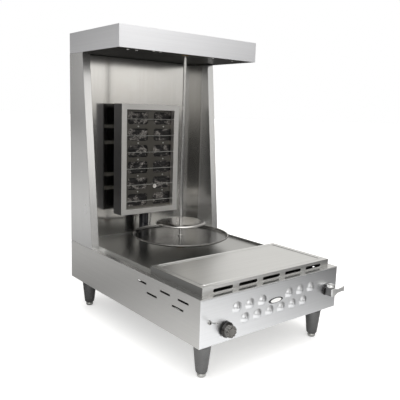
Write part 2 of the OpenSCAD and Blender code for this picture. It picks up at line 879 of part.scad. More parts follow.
module valve_stem() {
    front = -knob_gap - knob_skirt_t - 6;
    color("silver") at_front() translate([knob_x, front, knob_z]) rotate([-90, 0, 0])
        cylinder(d = stem_d, h = 32 - front);
}

module knob_skirt() {
    color("black") at_front() translate([knob_x, -knob_gap, knob_z]) rotate([90, 0, 0]) difference() {
        union() {
            cylinder(d = knob_d, h = knob_skirt_t - 3);
            translate([0, 0, knob_skirt_t - 3]) cylinder(d1 = knob_d, d2 = knob_grip_d + 4, h = 3);
        }
        translate([0, 0, -1]) cylinder(d = stem_d + 2 * fit_gap, h = knob_skirt_t + 2);
    }
}

// Fluted grip on the skirt
module knob_grip() {
    color("gray") at_front() translate([knob_x, -knob_gap - knob_skirt_t, knob_z]) rotate([90, 0, 0])
        difference() {
            union() {
                cylinder(d = knob_grip_d, h = knob_grip_t - 2);
                translate([0, 0, knob_grip_t - 2]) cylinder(d1 = knob_grip_d, d2 = knob_grip_d - 4, h = 2);
            }
            translate([0, 0, -1]) cylinder(d = stem_d + 2 * fit_gap, h = 7.5);
            for (k = [0:flutes - 1]) rotate([0, 0, k * 360 / flutes])
                translate([knob_grip_d / 2 + 1, 0, -1]) cylinder(d = 6, h = knob_grip_t + 2, $fn = 24);
        }
}

// Gas inlet along the left side, turned down as far as the thicker end that stands out at the rear
module inlet_pipe() {
    start = valve_d + valve_boss_len;
    run = body_d + pipe_end_gap - start;
    color("gray") at_front() translate([knob_x, start, knob_z]) rotate([-90, 0, 0]) {
        pipe(pipe_inner_d / 2, pipe_bore_d / 2, run);
        translate([0, 0, run]) pipe(pipe_d / 2, pipe_bore_d / 2, inlet_reach - pipe_end_gap);
    }
}

// ---------------------------------------------------------------- toggle switch

module toggle_switch() {
    color("silver") at_front() translate([toggle_x, 0, toggle_z]) difference() {
        union() {
            block([-toggle_case[0] / 2, sheet, -toggle_case[2] / 2],
                  [toggle_case[0] / 2, toggle_case[1], toggle_case[2] / 2]);
            rotate([90, 0, 0]) cylinder(d = toggle_nut_d, h = toggle_nut_h);
            translate([0, sheet, 0]) rotate([90, 0, 0])
                cylinder(d = toggle_barrel_d, h = toggle_barrel_len + sheet);
        }
        translate([0, 2, 0]) rotate([90, 0, 0]) cylinder(d = toggle_bore_d, h = toggle_barrel_len + 3);
    }
}

module toggle_lever() {
    color("silver") at_front() translate([toggle_x, -toggle_pivot, toggle_z]) rotate([90 - toggle_tilt, 0, 0]) {
        sphere(r = toggle_ball_r);
        cylinder(d1 = toggle_root_d, d2 = toggle_tip_d, h = toggle_len);
        translate([0, 0, toggle_len]) sphere(d = toggle_tip_d);
    }
}

// ---------------------------------------------------------------- front cock

module front_cock() {
    body_back = -cock_plate_t;
    color("dimgray") at_front() translate([cock_x, 0, cock_z]) {
        rotate([90, 0, 0]) cylinder(r = cock_plate_r, h = cock_plate_t);
        block([-cock_w / 2, body_back - cock_len, -cock_tall / 2], [cock_w / 2, body_back, cock_tall / 2]);
        translate([cock_cap_x, -cock_cap_y, cock_tall / 2]) cylinder(d = cock_cap_d, h = cock_cap_h);
        rotate([-90, 0, 0]) cylinder(d = cock_neck_d, h = sheet);
        translate([0, sheet, 0]) rotate([-90, 0, 0]) cylinder(d = cock_nut_d, h = cock_nut_h);
        translate([0, sheet + cock_nut_h, 0]) rotate([-90, 0, 0]) cylinder(d = cock_tail_d, h = cock_tail_len);
    }
}

// Flared handle that turns on the front of the cock
module cock_lever() {
    root = lever_root_h / 2;
    waist = lever_waist_h / 2;
    tip = lever_tip_h / 2;
    half = cock_w / 2;
    color("silver") at_front()
        translate([cock_x, -cock_plate_t - cock_len - lever_gap, cock_z]) rotate([0, -lever_rise, 0])
            rotate([90, 0, 0]) linear_extrude(height = lever_t)
                polygon([[-half, -root], [half, -root], [half + 10, -waist], [lever_len - 14, -waist],
                         [lever_len, -tip], [lever_len, tip], [lever_len - 14, waist],
                         [half + 10, waist], [half, root], [-half, root]]);
}

// Blank oval plate; the outline is an ellipse
module badge_plate() {
    steps = 48;
    color("ghostwhite") at_front() translate([0, 0, badge_z]) rotate([90, 0, 0])
        linear_extrude(height = badge_t)
            polygon([for (k = [0:steps - 1])
                [badge_w / 2 * cos(k * 360 / steps), badge_h / 2 * sin(k * 360 / steps)]]);
}

base_pan();
left_side_panel();
right_side_panel();
front_panel();
rear_panel();
top_frame();
rear_well();
leg_front_left();
leg_front_right();
leg_rear_left();
leg_rear_right();
foot_front_left();
foot_front_right();
foot_rear_left();
foot_rear_right();
leg_nuts();
left_column();
right_column();
back_panel();
rear_cover();
rear_cover_screws();
canopy_shell();
canopy_liner();
bearing_plate();
top_bearing();
shaft_bush();
motor_bracket();
gearbox();
motor();
drive_shaft();
drip_pan();
spit_rod();
meat_disc();
disc_screw();
post_socket();
heater_post();
thrust_washer();
pivot_sleeve();
heater_housing();
heater_frame();
burner_face();
burner_screws();
radiant_tiles();
burner_body();
guard_rods();
igniter();
rear_straps();
burner_tube();
deck_plate();
deck_burner();
gas_valve();
valve_stem();
knob_skirt();
knob_grip();
inlet_pipe();
toggle_switch();
toggle_lever();
front_cock();
cock_lever();
badge_plate();
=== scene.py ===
"""Looks of a counter-top upright spit broiler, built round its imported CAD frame.

Every piece is in metres in the frame's own axes: +Z up, the front facing -Y and
the floor at zero. Sheet parts keep their CAD solids and get folded edges and a
brushed finish; pressed, spun, cast and moulded parts are replaced by surfaces
worked out here on grids of two parameters.
"""

import logging
import math
from collections.abc import Callable
from dataclasses import dataclass
from enum import Enum

import bmesh
import bpy
import numpy as np
from mathutils import Matrix, Vector


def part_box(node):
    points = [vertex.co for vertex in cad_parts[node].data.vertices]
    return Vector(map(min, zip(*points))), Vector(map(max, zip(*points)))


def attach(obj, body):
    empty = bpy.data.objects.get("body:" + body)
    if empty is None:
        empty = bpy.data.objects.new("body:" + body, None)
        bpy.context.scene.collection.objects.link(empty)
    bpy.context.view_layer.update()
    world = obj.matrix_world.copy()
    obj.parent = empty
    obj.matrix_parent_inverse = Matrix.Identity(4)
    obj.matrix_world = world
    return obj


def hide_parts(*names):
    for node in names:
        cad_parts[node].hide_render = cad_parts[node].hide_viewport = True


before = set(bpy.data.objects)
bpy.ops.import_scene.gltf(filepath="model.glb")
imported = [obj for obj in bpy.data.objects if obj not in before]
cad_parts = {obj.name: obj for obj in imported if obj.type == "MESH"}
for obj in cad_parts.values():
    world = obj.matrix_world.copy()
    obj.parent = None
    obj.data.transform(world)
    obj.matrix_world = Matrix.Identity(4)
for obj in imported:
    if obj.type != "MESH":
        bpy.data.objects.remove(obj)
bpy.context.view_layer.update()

LOG = logging.getLogger("broiler")
MM = 0.001

Colour = tuple[float, float, float]
Point = tuple[float, float, float]
Surface = tuple[np.ndarray, np.ndarray]
Flute = tuple[int, float, float, float]
Piece = bpy.types.Object
Socket = bpy.types.NodeSocket
Wiring = Callable[["Graph", bpy.types.NodeOutputs], dict[str, Socket]]


# ---------------------------------------------------------------- numpy surfaces


def rounded(points: np.ndarray, cut: np.ndarray | float, steps: int = 5, closed: bool = True) -> np.ndarray:
    """Rounds the corners of an outline with short quadratic curves.

    Each corner p is left at a = p + cut towards the point before it and joined
    again at b = p + cut towards the point after it, along
    (1-t)^2 a + 2t(1-t) p + t^2 b.

    Args:
        points: Corners, one row of two numbers each.
        cut: How far from each corner its curve starts, one number or one per corner.
        steps: Points on each curve.
        closed: Whether the last corner joins the first; if not, both ends stay sharp.

    Returns:
        The rounded outline, one row per point.
    """
    p = np.asarray(points, float)
    c = np.broadcast_to(np.asarray(cut, float), len(p)).copy()
    before, after = np.roll(p, 1, 0) - p, np.roll(p, -1, 0) - p
    if not closed:
        c[0] = c[-1] = 0.0
    reach = 0.5 * np.minimum(np.linalg.norm(before, axis=1), np.linalg.norm(after, axis=1))
    c = np.minimum(c, reach * 0.98)[:, None]
    a = p + before / np.maximum(np.linalg.norm(before, axis=1, keepdims=True), 1e-9) * c
    b = p + after / np.maximum(np.linalg.norm(after, axis=1, keepdims=True), 1e-9) * c
    t = np.linspace(0.0, 1.0, steps)[None, :, None]
    curve = (1 - t) ** 2 * a[:, None] + 2 * t * (1 - t) * p[:, None] + t**2 * b[:, None]
    flat = curve.reshape(-1, 2)
    step = np.linalg.norm(flat - np.roll(flat, 1, 0), axis=1)
    step[0] = 1.0 if not closed else step[0]
    return flat[step > 1e-7]


def grid_faces(rows: int, cols: int, wrap_rows: bool, wrap_cols: bool) -> np.ndarray:
    """Quads that join a grid of points, row by row.

    Args:
        rows: Number of rows of points.
        cols: Number of points in a row.
        wrap_rows: Whether the last row joins the first.
        wrap_cols: Whether each row closes on itself.

    Returns:
        Four point numbers per face.
    """
    i, j = np.meshgrid(np.arange(rows - (not wrap_rows)), np.arange(cols - (not wrap_cols)), indexing="ij")
    i1, j1 = (i + 1) % rows, (j + 1) % cols
    return np.stack([i * cols + j, i1 * cols + j, i1 * cols + j1, i * cols + j1], -1).reshape(-1, 4)


def make_piece(
    name: str, points: np.ndarray, faces: np.ndarray, sharp: float = 35.0, merge: bool = True
) -> Piece:
    """Puts points and faces into a new object at the origin.

    Args:
        name: Name of the object and its mesh.
        points: Places of the points in metres.
        faces: Point numbers of each face.
        sharp: Edges that bend more than this many degrees stay crisp.
        merge: Whether points that fall together are joined and the faces turned outwards.

    Returns:
        The new object, linked to the scene.
    """
    mesh = bpy.data.meshes.new(name)
    mesh.from_pydata(np.asarray(points, float).reshape(-1, 3).tolist(), [], np.asarray(faces).tolist())
    if merge:
        shell = bmesh.new()
        shell.from_mesh(mesh)
        bmesh.ops.remove_doubles(shell, verts=shell.verts, dist=2e-6)
        bmesh.ops.dissolve_degenerate(shell, edges=shell.edges, dist=1e-7)
        bmesh.ops.recalc_face_normals(shell, faces=shell.faces)
        shell.to_mesh(mesh)
        shell.free()
    mesh.shade_smooth()
    mesh.set_sharp_from_angle(angle=math.radians(sharp))
    piece = bpy.data.objects.new(name, mesh)
    bpy.context.scene.collection.objects.link(piece)
    return piece


class Axis(Enum):
    """Which way a turned part's own axis points."""

    UP = "up"
    FRONT = "front"


def turned_basis(axis: Axis, lean: float = 0.0) -> np.ndarray:
    """Three rows: the two directions across a turned part and its axis.

    Args:
        axis: Which way the axis points.
        lean: Turn of the axis about X in radians, positive lifts a front axis.

    Returns:
        A 3 by 3 matrix whose rows are unit vectors.
    """
    rows = {
        Axis.UP: [[1, 0, 0], [0, 1, 0], [0, 0, 1]],
        Axis.FRONT: [[1, 0, 0], [0, 0, 1], [0, -1, 0]],
    }[axis]
    c, s = math.cos(lean), math.sin(lean)
    tilt = np.array([[1, 0, 0], [0, c, -s], [0, s, c]])
    return np.array(rows, float) @ tilt


def turned(
    profile: np.ndarray,
    centre: Point,
    axis: Axis = Axis.UP,
    steps: int = 72,
    lean: float = 0.0,
    closed: bool = True,
    flute: Flute | None = None,
) -> Surface:
    """A profile carried once round an axis: (r cos a, r sin a, h) for each (r, h).

    Args:
        profile: Rows of radius and height along the axis, in metres.
        centre: Where height zero of the axis is.
        axis: Which way the axis points.
        steps: Points round the axis.
        lean: Turn of the axis about X in radians.
        closed: Whether the profile's last point joins its first.
        flute: Number of grooves, their depth, and the heights between which they fade in and out.

    Returns:
        Points and faces.
    """
    a = np.linspace(0, 2 * np.pi, steps, endpoint=False)[:, None]
    r, h = profile[None, :, 0], profile[None, :, 1]
    r = np.broadcast_to(r, (steps, len(profile))).copy()
    if flute is not None:
        count, depth, low, high = flute
        inside = np.clip((h - low) / (0.15 * (high - low)), 0, 1) * (r > 0.6 * r.max())
        r = r - depth * inside * np.abs(np.cos(a * count / 2)) ** 6
    local = np.stack([r * np.cos(a), r * np.sin(a), np.broadcast_to(h, r.shape)], -1)
    points = local @ turned_basis(axis, lean) + np.asarray(centre, float)
    return points.reshape(-1, 3), grid_faces(steps, len(profile), True, closed)


def outline_of(*runs: tuple[list[tuple[float, float]], float, float]) -> np.ndarray:
    """Corners of a profile from runs of them, each in millimetres from a radius and a height in metres."""
    return np.concatenate([np.array(run, float) * MM + (radius, height) for run, radius, height in runs])


def spun(
    name: str,
    outline: np.ndarray,
    cuts: list[float],
    centre: Point,
    axis: Axis = Axis.UP,
    steps: int = 64,
    curve: int = 5,
    sharp: float = 35.0,
    flute: Flute | None = None,
) -> Piece:
    """A turned piece whose profile has rounded corners.

    Args:
        name: Name of the piece.
        outline: Corners of the profile, rows of radius and height in metres.
        cuts: How far from each corner its curve starts, in millimetres.
        centre: Where height zero of the axis is.
        axis: Which way the axis points.
        steps: Points round the axis.
        curve: Points on each rounded corner.
        sharp: Edges that bend more than this many degrees stay crisp.
        flute: Grooves, as for turned.

    Returns:
        The piece.
    """
    profile = rounded(outline, np.array(cuts) * MM, curve)
    return make_piece(name, *turned(profile, centre, axis, steps, flute=flute), sharp=sharp)


def joined(*parts: Surface) -> Surface:
    """Several surfaces as one list of points and one list of faces."""
    starts = np.cumsum([0] + [len(p[0]) for p in parts[:-1]])
    return np.concatenate([p[0] for p in parts]), np.concatenate([p[1] + s for p, s in zip(parts, starts)])


def swept(path: np.ndarray, radius: np.ndarray | float, sides: int = 20) -> Surface:
    """A round tube along a path, closed at both ends by a last ring of no radius.

    Each ring lies across the path's direction, turned as little as possible
    from a fixed side direction.

    Args:
        path: Rows of points in metres.
        radius: One radius, or one per point of the path.
        sides: Points round the tube.

    Returns:
        Points and faces.
    """
    path = np.asarray(path, float)
    radius = np.broadcast_to(np.asarray(radius, float), len(path))
    ahead = np.gradient(path, axis=0)
    ahead /= np.linalg.norm(ahead, axis=1, keepdims=True)
    across = np.array([0.0, 1.0, 0.0]) if abs(ahead[:, 1]).max() < 0.9 else np.array([1.0, 0.0, 0.0])
    u = np.cross(ahead, across)
    u /= np.linalg.norm(u, axis=1, keepdims=True)
    v = np.cross(ahead, u)
    a = np.linspace(0, 2 * np.pi, sides, endpoint=False)[None, :, None]
    rings = path[:, None] + radius[:, None, None] * (np.cos(a) * u[:, None] + np.sin(a) * v[:, None])
    ends = [np.repeat(path[k][None, None], sides, 1) for k in (0, -1)]
    rings = np.concatenate([ends[0], rings, ends[1]])
    return rings.reshape(-1, 3), grid_faces(len(rings), sides, False, True)


def soft_block(low: np.ndarray, high: np.ndarray, edge: float, steps: int = 13) -> Surface:
    """A box with rounded edges: each face of a unit cube's grid pushed out to a
    smaller box plus a ball of radius edge, in the direction of the cube point.

    Args:
        low: Lowest corner in metres.
        high: Highest corner in metres.
        edge: Radius of the edges.
        steps: Points along each side of a face.

    Returns:
        Points and faces.
    """
    low, high = np.asarray(low, float), np.asarray(high, float)
    mid, half = (low + high) / 2, (high - low) / 2
    t = np.sin(np.linspace(-np.pi / 2, np.pi / 2, steps))
    s, w = (g.ravel() for g in np.meshgrid(t, t, indexing="ij"))
    sheets = []
    for k in range(3):
        for side in (-1.0, 1.0):
            cube = np.zeros((len(s), 3))
            cube[:, k] = side
            cube[:, (k + 1) % 3] = s
            cube[:, (k + 2) % 3] = w
            sheets.append(cube * half)
    point = np.concatenate(sheets)
    inner = np.clip(point, -(half - edge), half - edge)
    away = point - inner
    length = np.linalg.norm(away, axis=1, keepdims=True)
    point = inner + away / np.maximum(length, 1e-9) * np.minimum(edge, np.maximum(length, edge))
    faces = np.concatenate([grid_faces(steps, steps, False, False) + n * steps * steps for n in range(6)])
    return point + mid, faces


# ---------------------------------------------------------------- shader wiring


class Graph:
    """Adds and joins the nodes of one shader tree."""

    def __init__(self, tree: bpy.types.NodeTree) -> None:
        """Starts on an empty tree."""
        self.tree = tree
        tree.nodes.clear()

    def add(self, kind: str, inputs: dict | None = None, **settings: object) -> bpy.types.Node:
        """Adds a node.

        Args:
            kind: Blender's name for the node type.
            inputs: Values or sockets for its inputs, by name or number.
            **settings: Properties of the node.

        Returns:
            The new node.
        """
        node = self.tree.nodes.new(kind)
        for key, value in settings.items():
            setattr(node, key, value)
        for key, value in (inputs or {}).items():
            if isinstance(value, Socket):
                self.tree.links.new(value, node.inputs[key])
            else:
                node.inputs[key].default_value = value
        return node

    def math(self, operation: str, a: object, b: object = 0.0, clamp: bool = False) -> Socket:
        """One arithmetic step on numbers or sockets, as a socket."""
        return self.add("ShaderNodeMath", {0: a, 1: b}, operation=operation, use_clamp=clamp).outputs[0]

    def line(self, value: object, slope: object, start: object) -> Socket:
        """A value times a slope plus a start, as a socket."""
        inputs = {0: value, 1: slope, 2: start}
        return self.add("ShaderNodeMath", inputs, operation="MULTIPLY_ADD").outputs[0]

    def group(self, tree: bpy.types.NodeTree, **inputs: object) -> bpy.types.NodeOutputs:
        """A shared node group with its inputs set, as its outputs."""
        return self.add("ShaderNodeGroup", inputs, node_tree=tree).outputs

    def scaled(self, vector: object, by: object) -> Socket:
        """A vector multiplied axis by axis, as a socket."""
        return self.add("ShaderNodeVectorMath", {0: vector, 1: by}, operation="MULTIPLY").outputs[0]

    def away(self, vector: object, centre: object) -> Socket:
        """A vector less another, as a socket."""
        return self.add("ShaderNodeVectorMath", {0: vector, 1: centre}, operation="SUBTRACT").outputs[0]

    def measure(self, operation: str, a: object, b: object = (0.0, 0.0, 0.0)) -> Socket:
        """A number worked out from vectors, such as a length or a dot product, as a socket."""
        return self.add("ShaderNodeVectorMath", {0: a, 1: b}, operation=operation).outputs["Value"]

    def noise(self, vector: object, scale: float, detail: float = 3.0, rough: float = 0.55) -> Socket:
        """Fractal noise of a vector, from 0 to 1, as a socket."""
        inputs = {"Vector": vector, "Scale": scale, "Detail": detail, "Roughness": rough}
        return self.add("ShaderNodeTexNoise", inputs).outputs["Fac"]

    def spread(
        self, value: object, low: float, high: float, to_low: float = 0.0, to_high: float = 1.0
    ) -> Socket:
        """A value moved from one range to another and held inside it, as a socket."""
        inputs = {"Value": value, "From Min": low, "From Max": high, "To Min": to_low, "To Max": to_high}
        return self.add("ShaderNodeMapRange", inputs).outputs[0]

    def mix(self, factor: object, a: object, b: object) -> Socket:
        """Two colours mixed.

        Args:
            factor: How much of the second colour shows, a number or a socket.
            a: First colour or socket.
            b: Second colour or socket.

        Returns:
            The mixed colour's socket.
        """
        node = self.add("ShaderNodeMix", data_type="RGBA")
        for key, kind, value in (("Factor", "VALUE", factor), ("A", "RGBA", a), ("B", "RGBA", b)):
            socket = next(s for s in node.inputs if s.name == key and s.type == kind)
            if isinstance(value, Socket):
                self.tree.links.new(value, socket)
            else:
                socket.default_value = value if key == "Factor" else (*value, 1.0)
        return next(s for s in node.outputs if s.type == "RGBA")


VECTOR, NUMBER = "NodeSocketVector", "NodeSocketFloat"


def effect(name: str, takes: dict[str, str], gives: tuple[str, ...], wire: Wiring) -> bpy.types.NodeTree:
    """A shared shader node group, built the first time it is asked for.

    Args:
        name: Name of the group.
        takes: Socket type of each input, by its name.
        gives: Names of the outputs, all of them numbers.
        wire: Function of a Graph and the group's inputs that returns the sockets to put out.

    Returns:
        The group.
    """
    if name in bpy.data.node_groups:
        return bpy.data.node_groups[name]
    group = bpy.data.node_groups.new(name, "ShaderNodeTree")
    for label, kind in takes.items():
        group.interface.new_socket(label, in_out="INPUT", socket_type=kind)
    for label in gives:
        group.interface.new_socket(label, in_out="OUTPUT", socket_type=NUMBER)
    graph = Graph(group)
    entry, leave = graph.add("NodeGroupInput"), graph.add("NodeGroupOutput")
    for label, socket in wire(graph, entry.outputs).items():
        group.links.new(socket, leave.inputs[label])
    return group


def brushed_lines() -> bpy.types.NodeTree:
    """Fine lines of an abrasive belt: noise squeezed along the grain, in two widths."""

    def wire(g: Graph, given: bpy.types.NodeOutputs) -> dict:
        """Wires the group."""
        vector = g.scaled(given["Vector"], given["Squeeze"])
        fine = g.noise(vector, 1.0, 2.0)
        broad = g.noise(vector, 0.45, 3.0)
        lines = g.line(fine, 0.6, g.math("MULTIPLY", broad, 0.4))
        return {"Height": lines, "Tone": g.spread(broad, 0.35, 0.65)}

    return effect("brushed_lines", {"Vector": VECTOR, "Squeeze": VECTOR}, ("Height", "Tone"), wire)


def spun_rings() -> bpy.types.NodeTree:
    """Rings left by a lathe: noise of the distance from an upright axis."""

    def wire(g: Graph, given: bpy.types.NodeOutputs) -> dict:
        """Wires the group."""
        flat = g.scaled(g.away(given["Vector"], given["Centre"]), (1.0, 1.0, 0.35))
        radius = g.measure("LENGTH", flat)
        line = g.add("ShaderNodeCombineXYZ", {0: g.math("MULTIPLY", radius, given["Fineness"])}).outputs[0]
        fine = g.noise(line, 1.0, 3.0)
        return {"Height": fine, "Tone": g.spread(g.noise(line, 0.15, 2.0), 0.35, 0.65)}

    takes = {"Vector": VECTOR, "Centre": VECTOR, "Fineness": NUMBER}
    return effect("spun_rings", takes, ("Height", "Tone"), wire)


def handling_marks() -> bpy.types.NodeTree:
    """Wiped smears and faint spots: broad soft noise and a few sharp flecks."""

    def wire(g: Graph, given: bpy.types.NodeOutputs) -> dict:
        """Wires the group."""
        smear = g.spread(g.noise(g.scaled(given["Vector"], (1.0, 1.0, 0.6)), 5.0, 2.0), 0.35, 0.75)
        fleck = g.spread(g.noise(given["Vector"], 90.0, 2.0), 0.66, 0.74)
        both = g.math("MAXIMUM", smear, g.math("MULTIPLY", fleck, 0.25))
        return {"Mask": g.math("MULTIPLY", both, given["Amount"])}

    return effect("handling_marks", {"Vector": VECTOR, "Amount": NUMBER}, ("Mask",), wire)


def heat_bloom() -> bpy.types.NodeTree:
    """Straw-coloured heat stain that fades with distance from one place."""

    def wire(g: Graph, given: bpy.types.NodeOutputs) -> dict:
        """Wires the group."""
        away = g.measure("DISTANCE", given["Vector"], given["Centre"])
        near = g.math("SUBTRACT", 1.0, g.math("DIVIDE", away, given["Reach"]), clamp=True)
        cloud = g.spread(g.noise(given["Vector"], 14.0, 4.0), 0.3, 0.7, 0.4, 1.0)
        return {"Mask": g.math("MULTIPLY", near, cloud, clamp=True)}

    return effect("heat_bloom", {"Vector": VECTOR, "Centre": VECTOR, "Reach": NUMBER}, ("Mask",), wire)


def cast_skin() -> bpy.types.NodeTree:
    """Skin of a casting: orange-peel grain with a few pits."""

    def wire(g: Graph, given: bpy.types.NodeOutputs) -> dict:
        """Wires the group."""
        peel = g.noise(given["Vector"], given["Scale"], 3.0)
        scaled = g.math("MULTIPLY", given["Scale"], 0.3)
        pits = g.spread(g.noise(given["Vector"], scaled, 2.0), 0.3, 0.42)
        return {"Height": g.math("MULTIPLY", peel, pits), "Tone": g.noise(given["Vector"], 20.0, 3.0)}

    return effect("cast_skin", {"Vector": VECTOR, "Scale": NUMBER}, ("Height", "Tone"), wire)


# ---------------------------------------------------------------- finishes


STRAW = (0.62, 0.56, 0.48)
ALONG_SCALE = 5.0
ACROSS_SCALES = (420.0, 400.0, 620.0)


def shaded(colour: Colour, *by: float) -> Colour:
    """A colour times one factor, or times one for each channel."""
    return tuple(c * f for c, f in zip(colour, by * 3 if len(by) == 1 else by))


class Grain(Enum):
    """The axis a sheet's grain runs along."""

    ALONG_X = (1.0, 0.0, 0.0)
    ALONG_Y = (0.0, 1.0, 0.0)
    ALONG_Z = (0.0, 0.0, 1.0)

    def squeeze(self) -> Point:
        """How strongly each axis is squeezed: little along the grain, much across it."""
        return tuple(ALONG_SCALE if along else across for along, across in zip(self.value, ACROSS_SCALES))

    def next_squeeze(self) -> Point:
        """The squeeze for faces that the grain would meet head on."""
        other = Grain.ALONG_Y if self is Grain.ALONG_X else Grain.ALONG_X
        return other.squeeze()


class Finish:
    """Base of all finishes: makes its material once and hands it out."""

    name: str

    def wire(self, g: Graph, place: Socket) -> dict:
        """Wires the finish and returns the Principled inputs it sets."""
        raise NotImplementedError

    def material(self) -> bpy.types.Material:
        """The material of this finish, built on first use."""
        if self.name in bpy.data.materials and bpy.data.materials[self.name].get("broiler_finish"):
            return bpy.data.materials[self.name]
        made = bpy.data.materials.new(self.name)
        made.use_nodes = True
        made["broiler_finish"] = True
        g = Graph(made.node_tree)
        place = g.add("ShaderNodeTexCoord").outputs["Object"]
        shader = g.add("ShaderNodeBsdfPrincipled", self.wire(g, place))
        g.add("ShaderNodeOutputMaterial", {"Surface": shader.outputs[0]})
        return made

    def bump(self, g: Graph, height: Socket, strength: float, depth: float) -> Socket:
        """A surface normal roughened by a height."""
        node = g.add("ShaderNodeBump", {"Height": height, "Strength": strength, "Distance": depth})
        return node.outputs[0]


@dataclass(frozen=True)
class BrushedSteel(Finish):
    """Stainless sheet with a belt grain, wiped smears and, near the heater, a heat stain; faces that the
    grain meets head on can also get painted shade.
    """

    name: str
    tint: Colour = (0.8, 0.8, 0.79)
    rough: float = 0.27
    grain: Grain = Grain.ALONG_X
    depth: float = 0.000004
    marks: float = 0.35
    stain: float = 0.0
    stain_centre: Point = (0.0, 0.0, 0.0)
    stain_reach: float = 0.3
    # Factor of the painted shade on faces that the grain meets head on; 1 for none.
    painted_end_shade: float = 1.0

    def wire(self, g: Graph, place: Socket) -> dict:
        """Wires the finish and returns the Principled inputs it sets."""
        facing = g.add("ShaderNodeTexCoord").outputs["Normal"]
        along = g.measure("DOT_PRODUCT", facing, self.grain.value)
        head_on = g.spread(g.math("ABSOLUTE", along), 0.6, 0.8)
        squeeze = g.mix(head_on, self.grain.squeeze(), self.grain.next_squeeze())
        lines = g.group(brushed_lines(), Vector=place, Squeeze=squeeze)
        marks = g.group(handling_marks(), Vector=place, Amount=self.marks)["Mask"]
        colour = g.mix(lines["Tone"], shaded(self.tint, 0.965), self.tint)
        # Painted shade: faces that the grain meets head on, such as the deck's ends, get a darker copy of
        # the tint.
        if self.painted_end_shade < 1:
            colour = g.mix(head_on, colour, shaded(self.tint, self.painted_end_shade))
        if self.stain > 0:
            where = {"Vector": place, "Centre": self.stain_centre, "Reach": self.stain_reach}
            bloom = g.math("MULTIPLY", g.group(heat_bloom(), **where)["Mask"], self.stain)
            colour = g.mix(bloom, colour, shaded(self.tint, *STRAW))
        return {
            "Base Color": colour,
            "Metallic": 1.0,
            "Roughness": g.line(marks, 0.06, self.rough),
            "Normal": self.bump(g, lines["Height"], 0.1, self.depth),
        }


@dataclass(frozen=True)
class SpunSteel(Finish):
    """Bright steel with lathe rings about an upright axis."""

    name: str
    centre: Point
    tint: Colour = (0.74, 0.74, 0.73)
    rough: float = 0.16
    fineness: float = 900.0
    depth: float = 0.00002

    def wire(self, g: Graph, place: Socket) -> dict:
        """Wires the finish and returns the Principled inputs it sets."""
        rings = g.group(spun_rings(), Vector=place, Centre=self.centre, Fineness=self.fineness)
        marks = g.group(handling_marks(), Vector=place, Amount=0.6)["Mask"]
        return {
            "Base Color": g.mix(rings["Tone"], shaded(self.tint, 0.88), self.tint),
            "Metallic": 1.0,
            "Roughness": g.line(marks, 0.12, self.rough),
            "Normal": self.bump(g, rings["Height"], 0.3, self.depth),
        }


@dataclass(frozen=True)
class CastMetal(Finish):
    """Cast or forged metal with an uneven skin."""

    name: str
    tint: Colour
    rough: float = 0.42
    metallic: float = 1.0
    scale: float = 900.0
    depth: float = 0.0003
    coat: float = 0.0

    def wire(self, g: Graph, place: Socket) -> dict:
        """Wires the finish and returns the Principled inputs it sets."""
        skin = g.group(cast_skin(), Vector=place, Scale=self.scale)
        tone = g.spread(skin["Tone"], 0.35, 0.65)
        return {
            "Base Color": g.mix(tone, shaded(self.tint, 0.82), self.tint),
            "Metallic": self.metallic,
            "Roughness": g.line(tone, 0.14, self.rough - 0.07),
            "Coat Weight": self.coat,
            "Normal": self.bump(g, skin["Height"], 0.5, self.depth),
        }


@dataclass(frozen=True)
class Moulding(Finish):
    """Moulded plastic or enamel: a smooth skin with faint mottling and fine scuffs."""

    name: str
    tint: Colour
    rough: float = 0.22
    coat: float = 0.3

    def wire(self, g: Graph, place: Socket) -> dict:
        """Wires the finish and returns the Principled inputs it sets."""
        marks = g.group(handling_marks(), Vector=place, Amount=0.8)["Mask"]
        mottle = g.noise(place, 260.0, 3.0)
        lifted = tuple(min(1.0, c * 1.25 + 0.006) for c in self.tint)
        return {
            "Base Color": g.mix(marks, self.tint, lifted),
            "Roughness": g.line(marks, 0.2, self.rough),
            "Coat Weight": self.coat,
            "Normal": self.bump(g, mottle, 0.08, 0.0004),
        }


@dataclass(frozen=True)
class SootedCeramic(Finish):
    """Radiant ceramic behind wire gauze: dark, pitted by ports, with paler worn patches."""

    name: str
    tint: Colour = (0.012, 0.011, 0.011)
    pale: Colour = (0.3, 0.28, 0.26)

    def wire(self, g: Graph, place: Socket) -> dict:
        """Wires the finish and returns the Principled inputs it sets."""
        ports = g.add("ShaderNodeTexVoronoi", {"Vector": place, "Scale": 420.0}).outputs["Distance"]
        cloud = g.spread(g.noise(g.scaled(place, (1.0, 1.0, 1.7)), 34.0, 5.0, 0.65), 0.5, 0.6)
        speck = g.spread(g.noise(place, 210.0, 2.0), 0.42, 0.6)
        worn = g.math("MULTIPLY", cloud, g.line(speck, 0.7, 0.3), clamp=True)
        rough = g.spread(worn, 0.0, 1.0, 0.42, 0.6)
        return {
            "Base Color": g.mix(worn, self.tint, self.pale),
            "Metallic": 0.35,
            "Roughness": rough,
            "Normal": self.bump(g, ports, 0.6, 0.0012),
        }


@dataclass(frozen=True)
class BadgeFace(Finish):
    """Pale blank face inside a dark rim; the edge follows the badge's own ellipse."""

    name: str
    centre: Point
    half: tuple[float, float]
    pale: Colour = (0.78, 0.78, 0.77)
    rim: Colour = (0.012, 0.012, 0.014)

    def wire(self, g: Graph, place: Socket) -> dict:
        """Wires the finish and returns the Principled inputs it sets."""
        unit = g.scaled(g.away(place, self.centre), (1.0 / self.half[0], 0.0, 1.0 / self.half[1]))
        edge = g.spread(g.measure("LENGTH", unit), 0.7, 0.78)
        print_grain = g.noise(place, 500.0, 2.0)
        return {
            "Base Color": g.mix(edge, self.pale, self.rim),
            "Metallic": 0.0,
            "Roughness": g.spread(print_grain, 0.3, 0.7, 0.22, 0.32),
            "Coat Weight": 0.4,
            "Normal": self.bump(g, print_grain, 0.05, 0.0002),
        }


